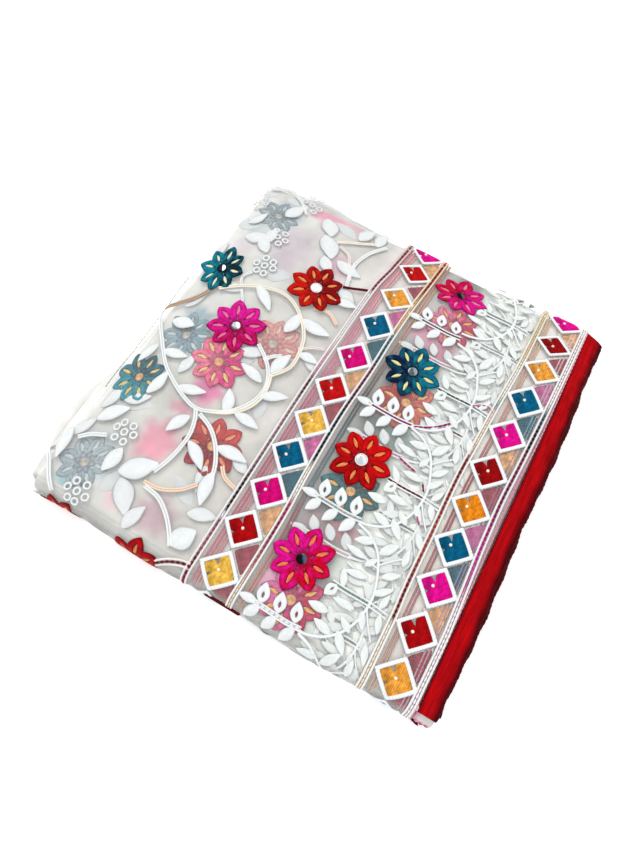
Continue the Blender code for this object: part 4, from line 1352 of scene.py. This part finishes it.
def make_corner(name, node, sizes, dye_rule, material, slot):
    """A stretch of a lower layer that turns over at the front, just right of the seam."""
    radius = FRONT_FOLD["rise"] - sizes["inset"]

    def place(u, v):
        from_seam = u * sizes["width"]
        angle = np.radians(sizes["start"] + v * (sizes["end"] - sizes["start"]))
        bow = np.clip(np.sin(pi * np.clip(from_seam / CORNER["spread"], 0, 1)), 0, 1) ** 0.7
        swell = CORNER["swell"] * bow * np.sin(angle / 2) ** 4
        ripple = 0.35 * np.sin(from_seam * 1.9 + v * 5) * np.sin(pi * v)
        y = FLAT_FRONT - (radius + swell + ripple) * np.sin(angle)
        points = abreast(CORNER["left"] + from_seam, y, FRONT_FOLD["rise"] + radius * np.cos(angle))
        return points, abreast(from_seam, v * 25), dye_rule(from_seam / sizes["width"], v)

    made = sew_patch(name, 16, 34, place, material, slot)
    add_wall(made, 0.5 * MM)
    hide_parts(node)
    return made, (sizes["width"] * MM, radians(sizes["end"] - sizes["start"]) * radius * MM)


# ---- Embroidery ----
def diamond(angle, power):
    """The outline of a diamond, with corners that are softer at a higher power."""
    return 1 / (np.abs(np.cos(angle)) ** power + np.abs(np.sin(angle)) ** power)


def cut_diamond(reach):
    """The outline of a diamond of that reach, cut off beside the line of cord on its right."""

    def outline(angle):
        side = np.maximum(np.cos(angle), 1e-6)
        return np.minimum(diamond(angle, FILL_POWER), UNDER_CUT / reach / side)

    return outline


def notched_diamond(angle):
    """The outline of a diamond's fill: three petals with notches cut in between them."""
    reach = diamond(angle, FILL_POWER)
    for at, depth, spread in DIAMOND_NOTCHES:
        off = (np.degrees(angle) - at + 180) % 360 - 180
        reach = reach * (1 - depth * ridge(off, 0, spread))
    return reach


def diamond_dye(colour, tilt):
    """A rule for the painted light on a diamond's fill: painted sheen in streaks, painted shade on its left
    petal and at its rim.
    """
    base = np.array(linear(colour))

    def dye(x, y, out):
        shaded_left_lobe = 0.28 * eased((-x - 0.12) / 0.3) * eased((0.5 - np.abs(y)) / 0.3)
        # Painted sheen: streaks across the fill where the satin catches the light.
        silky = 0.14 * np.sin(9 * (x + 0.6 * y) + 7 * tilt) + 0.1 * np.sin(17 * (x - 0.7 * y) + 3 * tilt)
        rim = 0.35 * np.clip(out - 0.85, 0, 1) / 0.15
        return base * (1 - shaded_left_lobe + silky - rim)[:, None]

    return dye


def add_diamond_frame(work, centre, reach_out, height, dye):
    """A closed frame of thick cord with softly rounded corners."""

    def place(u, across, up):
        angle = 2 * pi * u
        run = u * 4 * reach_out * 2**0.5
        swell = 0.9 + 0.1 * np.sqrt(np.abs(np.sin(pi * run / 2.8)))
        out = reach_out - DIAMOND_CORD * 0.7 + across * swell * DIAMOND_CORD * 0.7
        x, y = around(angle, out * diamond(angle, FRAME_POWER))
        # Painted shade: the frame's cord is darker at its sides, where it turns down.
        rim = (0.86 + 0.14 * (1 - np.abs(across) ** 2))[:, None]
        points = abreast(*turned(x, y, centre, 0), height * up * swell)
        return points, abreast(run, across * DIAMOND_CORD / 2), np.array(dye) * rim

    work.stitch(FRAME_COLUMNS, ROUND_SECTION, place)


def make_diamonds(prefix, rows, inset, height, reach, embroidery):
    """Diamonds of one layer: frames, fills and beads. On a lower layer they are cut off and unframed."""
    frames, fills, beads = Work(), Work(), Work()
    fill = reach * FILL_REACH
    for number, (x, y, colour) in enumerate(rows):
        centre = settled(x, y)
        dye = diamond_dye(DYES[colour], jitter(number, 0.5))
        if inset:
            veil = linear(DYES["veiled"])
            add_disc(fills, centre, reach, height * 0.4, veil, columns=FILL_COLUMNS,
                     outline=cut_diamond(reach))
            add_disc(fills, centre, fill, height, dye, columns=FILL_COLUMNS, outline=cut_diamond(fill))
            continue
        add_disc(fills, centre, fill, height, dye, columns=FILL_COLUMNS, outline=notched_diamond)
        add_diamond_frame(frames, centre, reach, height * 1.3, embroidery.white)
        spot = (centre[0] - 1.7 + jitter(number, 1.2), centre[1] - 0.6 + jitter(number + 7, 1.0))
        add_disc(beads, spot, BEAD_WIDTH / 2, 1.3, embroidery.bead, columns=12, base=height * 0.6)
    made = [fills.sew(f"{prefix}_diamond_fills", floss(), "orange_thread", inset)]
    if beads.meshes:
        made.append(frames.sew(f"{prefix}_diamond_frames", wide_cord(), "white_thread", inset))
        bead = material_named("pearl bead", pearl_bead, tuple(embroidery.bead))
        made.append(beads.sew(f"{prefix}_beads", bead, "bead", inset))
    return made


def add_flower(petals, slits, rings, mirrors, row, height):
    """A flower: eight petals round a mirror that a ring of stitches holds."""
    x, y, turn, light, dark, sheen_side, slit, glass = row
    centre = settled(x, y)
    light, dark, slit = linear(light), linear(dark), linear(slit)
    for number in range(PETALS):
        direction = turn + 360 / PETALS * number + jitter(number + x, 3.0)
        scale = 1 + jitter(number * 2 + y, 0.05)
        # Painted sheen: petals turned towards the side where it is light take the light colour.
        sheen_share = 0.5 + 0.5 * cos(radians(direction - sheen_side))
        add_petal(petals, centre, direction, scale, height, light, dark, sheen_share, number)
        # A low leaf of its own colour, a little larger than the opening, fills its slit; a copy brightened by
        # a third gives it a painted highlight along its middle.
        add_leaf(slits, turned(SLIT["at"] * scale, 0, centre, direction), direction,
                 SLIT["long"] * 2.1 * scale, SLIT["half"] * 2.3 * scale, height * 0.5,
                 tuple(min(c * 1.35, 1) for c in slit), slit, columns=10)
    # The heart under the petals is darkened, as painted shade where the petals meet.
    add_disc(petals, centre, FLOWER_HEART, height * 0.9, mixed(light, dark, 0.3) * 0.7, columns=24)
    if glass in PLAIN_MIDDLES:
        add_disc(slits, centre, MIRROR_RADIUS, height * 1.15, linear(PLAIN_MIDDLES[glass]))
        return
    shade, shine, ring = MIRROR_REFLECTIONS[glass]

    # The mirror's colour is a painted reflection: dark on one side, bright on the other.
    def tint(x, y, out):
        return mixed(linear(shine), linear(shade), eased((x * 0.8 + y * 0.6 - 0.05) / 0.4))

    add_disc(mirrors, centre, MIRROR_RADIUS, 0.35, tint, columns=32, base=height * 0.75)
    ring = linear(ring) if ring else np.array(dark) * 0.6
    add_ring(rings, centre, MIRROR_RADIUS + 0.3, MIRROR_RING, height * 1.7, ring, columns=36, link=1.4)


def make_flowers(prefix, rows, inset, height):
    """Flowers of one layer."""
    petals, slits, rings, mirrors = Work(), Work(), Work(), Work()
    for row in rows:
        add_flower(petals, slits, rings, mirrors, row, height)
    made = [
        petals.sew(f"{prefix}_petals", floss(), "red_thread", inset),
        slits.sew(f"{prefix}_petal_slits", floss(), "orange_thread", inset),
    ]
    if mirrors.meshes:
        glass = material_named("cut mirror glass", mirror_glass)
        made.append(rings.sew(f"{prefix}_mirror_rings", cord_thread(), "dark_thread", inset))
        made.append(mirrors.sew(f"{prefix}_mirrors", glass, "mirror", inset))
    return made


def cloud_tints(x, y):
    """The tint of the hidden layers with their painted shade, and the soft clouds of colour where they carry
    flowers, the grey clouds being painted shade.
    """
    dye = dye_stops(STACK_TINTS_AND_SHADE, x)
    for number, (cloud_x, cloud_y, half_width, half_length, colour, strength) in enumerate(CLOUDS):
        middle_x, middle_y = settled(cloud_x, cloud_y)
        across, along = (x - middle_x) / half_width, (y - middle_y) / half_length
        angle = np.arctan2(along, across)
        lobes = 1 + 0.12 * np.cos(5 * angle + number) + 0.08 * np.cos(8 * angle + 2 * number)
        share = strength * (1 - eased((np.hypot(across, along) / lobes / 1.35 - 0.35) / 0.65))
        dye = mixed(linear(colour), dye, share)
    return dye


def make_clouds(inset):
    """The uppermost of the hidden layers, flat on the rest, with its clouds of colour."""
    left, right, front, back = FLAT_LEFT + 1, SEAM_X - 1, FLAT_FRONT + 1, FLAT_BACK - 1

    def place(u, v):
        x, y = left + u * (right - left), front + v * (back - front)
        still = np.broadcast_to((0.0, STACK_HEIGHT - CORE_INSET), (len(x), 2))
        return abreast(x, y, 0.08 + 0 * x), still, cloud_tints(x, y)

    sew_patch("hidden_flowers", 104, 112, place, folded_cloth(), "folded_organza", inset)


def leaf_colours(embroidery, inset, shade=0.8, tint=(1, 1, 1)):
    """The light and shaded white of a leaf, a little darker on lower layers as painted shade of the sheer
    layers over them.
    """
    veil = 1 - 0.04 * inset
    return tuple(tuple(c * veil * s * t for c, t in zip(embroidery.white, tint)) for s in (1, shade))


def make_field_leaves(prefix, rows, inset, height, embroidery):
    """Free leaves of the field."""
    leaves = Work()
    colours = leaf_colours(embroidery, inset, 0.8 + 0.04 * inset)
    for number, (x, y, direction, length, width) in enumerate(rows):
        add_leaf(leaves, settled(x, y), direction, length, width * 1.08, height, *colours,
                 bend=jitter(number, 1.2), columns=20)
    return leaves.sew(f"{prefix}_leaves", white_floss(), "white_thread", inset)


def make_vines(prefix, rows, inset, height):
    """Vines of twin cords."""
    vines = Work()
    for colour, width, points in rows:
        add_twins(vines, points, width * 0.24, width * 0.54, height, linear(DYES[colour]), link=2.6)
    return vines.sew(f"{prefix}_vines", cord_thread(), "cream_thread", inset)


def make_berries(prefix, rows, inset, height, embroidery):
    """Clusters of ringed eyelets."""
    rings = Work()
    for x, y in rows:
        centre_x, centre_y = settled(x, y)
        spots = [(0.0, 0.0)]
        for number in range(BERRY["count"] - 1):
            spots.append(turned(BERRY["spread"], 0, (0, 0), 60 * number + jitter(number + x, 8)))
        for dx, dy in spots:
            add_ring(rings, (centre_x + dx, centre_y + dy), BERRY["ring"], BERRY["cord"], height,
                     embroidery.white, columns=20, link=1.4)
    return rings.sew(f"{prefix}_berries", cord_thread(), "white_thread", inset)


def make_sprigs(prefix, rows, shift, inset, height, embroidery):
    """The white sprigs beside the flowers: a stem, three pairs of leaves and one at its tip.

    Those of a lower layer lean, and show neither eyelets nor their lower leaves.
    """
    leaves, stems = Work(), Work()
    colours = leaf_colours(embroidery, inset * SPRIG_VEIL_SHADE)
    full_size, lean = (UNDER_SPRIG_SIZE, UNDER_SPRIG_LEAN) if inset else (1, 0)
    sides = [("upper", add_leaf if inset else add_eyelet_leaf, SPRIG_UPPER)]
    if not inset:
        sides.append(("lower", add_leaf, SPRIG_LOWER))
    for number, (sprig_y, stem) in enumerate(rows):
        points = [(x + shift, y + sprig_y) for x, y in SPRIG_STEM]
        add_twins(stems, points, 1.15, 1.3, height * 0.8, embroidery.white, link=2.4)
        add_cord(stems, points, 1.3, height * 0.9, linear(stem), dashes=STITCH)
        for side, make, places in sides:
            length, width = SPRIG_LEAF[side]
            for x, y, direction in places:
                size = full_size + jitter(number * 7 + x, 0.06)
                direction = direction + jitter(number * 3 + x, 5) + lean
                spot = settled(x + shift, sprig_y + y * squeeze(sprig_y, BACK_SQUEEZE))
                make(leaves, spot, direction, length * size, width * size, height, *colours)
        tip_x, tip_y, direction = SPRIG_TIP
        add_leaf(leaves, settled(tip_x + shift, sprig_y + tip_y), direction, *SPRIG_LEAF["tip"], height,
                 *colours, columns=14)
    return [
        leaves.sew(f"{prefix}_sprig_leaves", white_floss(), "white_thread", inset),
        stems.sew(f"{prefix}_sprig_stems", cord_thread(), "white_thread", inset),
    ]


def make_leaf_work(prefix, units, shift, extra, inset, height, embroidery):
    """The thick leaf work beyond the sprigs: an arc of stem for each flower, its twigs and leaves."""
    leaves, stems = Work(), Work()
    colours = leaf_colours(embroidery, inset * 0.6, 0.89, STRIP_WHITE)
    left = UNIT_MIDDLE + shift
    for number, (unit_y, stem) in enumerate(units):
        drawn_in = squeeze(unit_y, BACK_SQUEEZE)
        for points, width in [(STRIP_ARC, 2.0)] + [(twig, 1.3) for twig in STRIP_TWIGS]:
            spots = [(left + x, unit_y + y * drawn_in) for x, y in points]
            spots = [spot for spot in spots if STRIP_FRONT < spot[1] < STRIP_BACK]
            if len(spots) > 1:
                add_cord(stems, spots, width, height * 0.8, embroidery.white, link=2.6)
        if STRIP_FRONT < unit_y < STRIP_BACK:
            spots = [(left + x, unit_y + y) for x, y in FLOWER_STEM]
            add_twins(stems, spots, 1.2, 1.3, height * 0.8, embroidery.white, link=2.4)
            add_cord(stems, spots[:3], 1.4, height * 0.9, linear(stem), dashes=STITCH)
        for make, rows in ((add_leaf, STRIP_LEAVES + extra), (add_eyelet_leaf, EYELET_LEAVES)):
            for leaf_x, leaf_y, direction, length, width in rows:
                key = number * 31 + leaf_x * 3 + leaf_y
                x = left + leaf_x + jitter(key, 1.2)
                y = unit_y + leaf_y * drawn_in + jitter(key + 5, 1.2)
                if STRIP_FRONT < y < STRIP_BACK:
                    make(leaves, settled(x, y), direction + jitter(key + 2, 9), length, width,
                         height * (1 + jitter(key, 0.15)), *colours)
    return [
        leaves.sew(f"{prefix}_strip_leaves", white_floss(), "white_thread", inset),
        stems.sew(f"{prefix}_strip_stems", cord_thread(), "white_thread", inset),
    ]


def make_band_cords(inset, embroidery):
    """The lines beside the diamonds: chain cords with a space-dyed running stitch between them."""
    sides, centres = Work(), Work()
    apart, side_width, centre_width, height, link = CORD_GAUGE
    for line in BAND_CORDS:
        add_twins(sides, line["path"], apart, side_width, height, dyed_along(line["sides"]), link=link)
        add_cord(centres, line["path"], centre_width, height * 1.1, dyed_along(line["dye"]), dashes=STITCH)
    add_cord(centres, MARGIN_CORD["path"], 1.1, 0.7, dyed_along(MARGIN_CORD["dye"]), dashes=STITCH)
    for colour, points in STRIP_THREADS:
        add_cord(centres, points, 1.3, 0.7, linear(colour), dashes=STITCH)
        add_cord(sides, points, 1.0, 0.5, embroidery.white, offset=1.0, link=2.0)
    add_cord(centres, ROLL_THREAD["path"], 2.6, 1.5, linear(ROLL_THREAD["dye"]))
    for colour, points in EDGE_THREADS:
        add_cord(centres, points, 0.8, 0.4, linear(colour), dashes=STITCH)
    sides.sew("band_cords", cord_thread(), "white_thread", inset)
    centres.sew("band_running_stitch", cord_thread(), "dark_thread", inset)


def make_under_cords(inset):
    """The lines of the layer below, seen through the top one."""
    cords = Work()
    for line in UNDER_CORDS:
        add_twins(cords, line["path"], 1.1, 1.5, 0.35, dyed_along(line["dye"]), link=2.6, step=0.9)
    return cords.sew("under_cords", cord_thread(), "pink_thread", inset)


# ---- Operators ----
class SHAWL_OT_folded_layers(bpy.types.Operator):
    """Make the hidden layers"""

    bl_idname = "shawl.folded_layers"
    bl_label = "Hidden layers"

    def execute(self, context):
        make_folded_layers(context.scene.shawl_cloth)
        return {"FINISHED"}


class SHAWL_OT_deep_embroidery(bpy.types.Operator):
    """Make the embroidery that lies on the hidden layers"""

    bl_idname = "shawl.deep_embroidery"
    bl_label = "Deep embroidery"

    def execute(self, context):
        embroidery = context.scene.shawl_embroidery
        height = embroidery.under_pile / MM
        make_clouds(CORE_INSET)
        make_flowers("deep", DEEP_FLOWERS, CORE_INSET, height * 0.9)
        make_field_leaves("deep", DEEP_LEAVES, CORE_INSET, height, embroidery)
        make_leaf_work("deep", DEEP_UNITS, UNDER_SHIFT, UNDER_EXTRA_LEAVES, CORE_INSET, height * 0.6,
                       embroidery)
        return {"FINISHED"}


class SHAWL_OT_second_stretch(bpy.types.Operator):
    """Make the second sheer stretch with its embroidery"""

    bl_idname = "shawl.second_stretch"
    bl_label = "Second stretch"

    def execute(self, context):
        cloth, embroidery = context.scene.shawl_cloth, context.scene.shawl_embroidery
        stretch, size = make_stretch("sheer_second", "second_stretch", SECOND_INSET, cloth, **SECOND_MESH)
        height = embroidery.under_pile / MM
        pieces = make_flowers("second", UNDER_FLOWERS, SECOND_INSET, height)
        pieces.append(make_field_leaves("second", UNDER_LEAVES, SECOND_INSET, height, embroidery))
        pieces.append(make_vines("second", UNDER_VINES, SECOND_INSET, height))
        pieces.append(make_berries("second", UNDER_BERRIES, SECOND_INSET, height, embroidery))
        pieces += make_leaf_work("second", UNDER_UNITS, UNDER_SHIFT, UNDER_EXTRA_LEAVES, SECOND_INSET,
                                 height * 0.7, embroidery)
        pieces += make_sprigs("second", UNDER_SPRIGS, UNDER_SHIFT, SECOND_INSET, height, embroidery)
        pieces += make_diamonds("second", UNDER_DIAMONDS, SECOND_INSET, height * 0.8, UNDER_REACH, embroidery)
        pieces.append(make_under_cords(SECOND_INSET))
        return {"FINISHED"}


class SHAWL_OT_top_stretch(bpy.types.Operator):
    """Make the top sheer stretch"""

    bl_idname = "shawl.top_stretch"
    bl_label = "Top stretch"

    def execute(self, context):
        cloth = context.scene.shawl_cloth
        stretch, size = make_stretch("sheer_top", "top_stretch", 0.0, cloth, **TOP_MESH)
        return {"FINISHED"}


class SHAWL_OT_bands(bpy.types.Operator):
    """Make the two bands: their lines of cord, diamonds and beads"""

    bl_idname = "shawl.bands"
    bl_label = "Bands"

    def execute(self, context):
        embroidery = context.scene.shawl_embroidery
        make_band_cords(0.0, embroidery)
        make_diamonds("top", DIAMONDS, 0.0, embroidery.pile / MM * 0.85, DIAMOND_REACH, embroidery)
        return {"FINISHED"}


class SHAWL_OT_flowers(bpy.types.Operator):
    """Make the flowers with their mirrors"""

    bl_idname = "shawl.flowers"
    bl_label = "Flowers"

    def execute(self, context):
        make_flowers("top", FLOWERS + ROLL_FLOWERS, 0.0, context.scene.shawl_embroidery.pile / MM)
        return {"FINISHED"}


class SHAWL_OT_leaves(bpy.types.Operator):
    """Make the leaves, vines, berries and sprigs"""

    bl_idname = "shawl.leaves"
    bl_label = "Leaves and vines"

    def execute(self, context):
        embroidery = context.scene.shawl_embroidery
        height = embroidery.leaf_pile / MM
        make_field_leaves("top", FIELD_LEAVES, 0.0, height, embroidery)
        make_vines("top", VINES, 0.0, height)
        make_berries("top", BERRIES, 0.0, height, embroidery)
        make_sprigs("top", SPRIGS, 0.0, 0.0, height, embroidery)
        make_leaf_work("top", STRIP_UNITS, 0.0, (), 0.0, height * 0.75, embroidery)
        return {"FINISHED"}


class SHAWL_OT_edgings(bpy.types.Operator):
    """Make the red edgings and the corner fold"""

    bl_idname = "shawl.edgings"
    bl_label = "Edgings"

    def execute(self, context):
        cloth, edging = context.scene.shawl_cloth, context.scene.shawl_edging
        make_hidden_edgings(edging)
        for order, row in enumerate(EDGINGS):
            make_edging(row, order, edging)
        # The sheer of the corner fold is the ground colour darkened, as painted shade inside the turned fold.
        pale = np.array(cloth.colour) * 0.7

        def fold_dye(u, v):
            dye = mixed(linear(CORNER_PINK), pale, eased((0.3 - u) / 0.2) * 0.6 + eased((v - 0.26) / 0.08))
            return mixed(linear(CORNER_RUBY), dye, eased((v - 0.36) / 0.05) * eased((u - 0.3) / 0.2))

        # Painted shade: the corner edging is the shaded red at both its sides, lightest in its middle.
        def rim_shade_dye(u, v):
            return mixed(edging.colour, edging.shade, 0.4 * np.sin(pi * u))

        fold, size = make_corner("corner_fold_sheer", "corner_fold", CORNER_FOLD, fold_dye, folded_cloth(),
                                 "organza")
        rim, _ = make_corner("corner_fold_edging", "corner_edging", CORNER_EDGING, rim_shade_dye,
                             ribbed_satin(edging), "red_edging")
        return {"FINISHED"}


class SHAWL_OT_studio(bpy.types.Operator):
    """Make the floor, lights and camera"""

    bl_idname = "shawl.studio"
    bl_label = "Studio"

    def execute(self, context):
        studio = context.scene.shawl_studio
        make_floor(studio)
        make_lights(context.scene, studio)
        make_camera(context.scene, studio)
        return {"FINISHED"}


# ---- Studio ----
WHITE = (1.0, 1.0, 1.0, 1.0)
SUN_WAY = Vector((0.55, -0.65, -1.0))
SUN_SPREAD = radians(28)


def make_floor(studio):
    """A plain pale floor that gives out a little light of its own, so that shadows stay faint."""
    floor = bmesh.new()
    bmesh.ops.create_grid(floor, x_segments=1, y_segments=1, size=6.0)
    mesh = bpy.data.meshes.new("floor")
    floor.to_mesh(mesh)
    floor.free()
    material, tree = new_material("matt white paper")
    shader = add_node(tree, "BsdfPrincipled",
                      {"Base Color": (*studio.floor, 1.0), "Roughness": 0.9, "Specular IOR Level": 0.1,
                       "Emission Color": WHITE, "Emission Strength": studio.floor_glow})
    add_node(tree, "OutputMaterial", None, {"Surface": shader})
    mesh.materials.append(material)
    made = bpy.data.objects.new("floor", mesh)
    bpy.context.scene.collection.objects.link(made)


def make_lights(scene, studio):
    """Even white light from all round, with a soft sun from the back left."""
    world = bpy.data.worlds.new("studio")
    world.use_nodes = True
    background = world.node_tree.nodes["Background"]
    background.inputs["Color"].default_value = WHITE
    background.inputs["Strength"].default_value = studio.sky
    scene.world = world
    sun = bpy.data.lights.new("key", "SUN")
    sun.energy = studio.sun
    sun.angle = SUN_SPREAD
    key = bpy.data.objects.new("key", sun)
    key.rotation_euler = SUN_WAY.to_track_quat("-Z", "Y").to_euler()
    scene.collection.objects.link(key)
    scene.view_settings.view_transform = "Standard"


def make_camera(scene, studio):
    """The camera, rolled a little, looking down on the shawl from the front right."""
    shift = Vector((-PLAN_CENTRE[0] * MM, -PLAN_CENTRE[1] * MM, 0))
    place, target = Vector(studio.camera_place) + shift, Vector(studio.camera_target) + shift
    ahead = (target - place).normalized()
    level = ahead.cross(Vector((0, 0, 1))).normalized()
    upright = level.cross(ahead)
    right = level * cos(studio.camera_roll) + upright * sin(studio.camera_roll)
    up = upright * cos(studio.camera_roll) - level * sin(studio.camera_roll)
    camera = bpy.data.objects.new("camera", bpy.data.cameras.new("camera"))
    camera.data.lens = studio.lens
    camera.matrix_world = Matrix((right, up, -ahead)).transposed().to_4x4()
    camera.location = place
    scene.collection.objects.link(camera)
    scene.camera = camera


class SHAWL_PT_panel(bpy.types.Panel):
    """The shawl's settings and steps"""

    bl_idname = "SHAWL_PT_panel"
    bl_label = "Folded shawl"
    bl_space_type = "VIEW_3D"
    bl_region_type = "UI"
    bl_category = "Shawl"

    def draw(self, context):
        for name in GROUPS:
            settings = getattr(context.scene, name)
            box = self.layout.box()
            for key in settings.__annotations__:
                box.prop(settings, key)
        for step in STEPS:
            self.layout.operator(step.bl_idname)


GROUPS = {
    "shawl_cloth": ShawlCloth,
    "shawl_embroidery": ShawlEmbroidery,
    "shawl_edging": ShawlEdging,
    "shawl_studio": ShawlStudio,
}
STEPS = (
    SHAWL_OT_folded_layers,
    SHAWL_OT_deep_embroidery,
    SHAWL_OT_second_stretch,
    SHAWL_OT_top_stretch,
    SHAWL_OT_bands,
    SHAWL_OT_flowers,
    SHAWL_OT_leaves,
    SHAWL_OT_edgings,
    SHAWL_OT_studio,
)


def register():
    """Registers the settings, steps and panel."""
    for name, group in GROUPS.items():
        bpy.utils.register_class(group)
        setattr(bpy.types.Scene, name, bpy.props.PointerProperty(type=group))
    for step in (*STEPS, SHAWL_PT_panel):
        bpy.utils.register_class(step)


def unregister():
    """Takes them away again."""
    for step in reversed((*STEPS, SHAWL_PT_panel)):
        bpy.utils.unregister_class(step)
    for name, group in GROUPS.items():
        delattr(bpy.types.Scene, name)
        bpy.utils.unregister_class(group)


def main():
    """Makes every piece in order."""
    register()
    bpy.ops.shawl.folded_layers()
    bpy.ops.shawl.deep_embroidery()
    bpy.ops.shawl.second_stretch()
    bpy.ops.shawl.top_stretch()
    bpy.ops.shawl.bands()
    bpy.ops.shawl.flowers()
    bpy.ops.shawl.leaves()
    bpy.ops.shawl.edgings()
    bpy.ops.shawl.studio()
    bpy.context.view_layer.update()


if __name__ == "__main__":
    main()
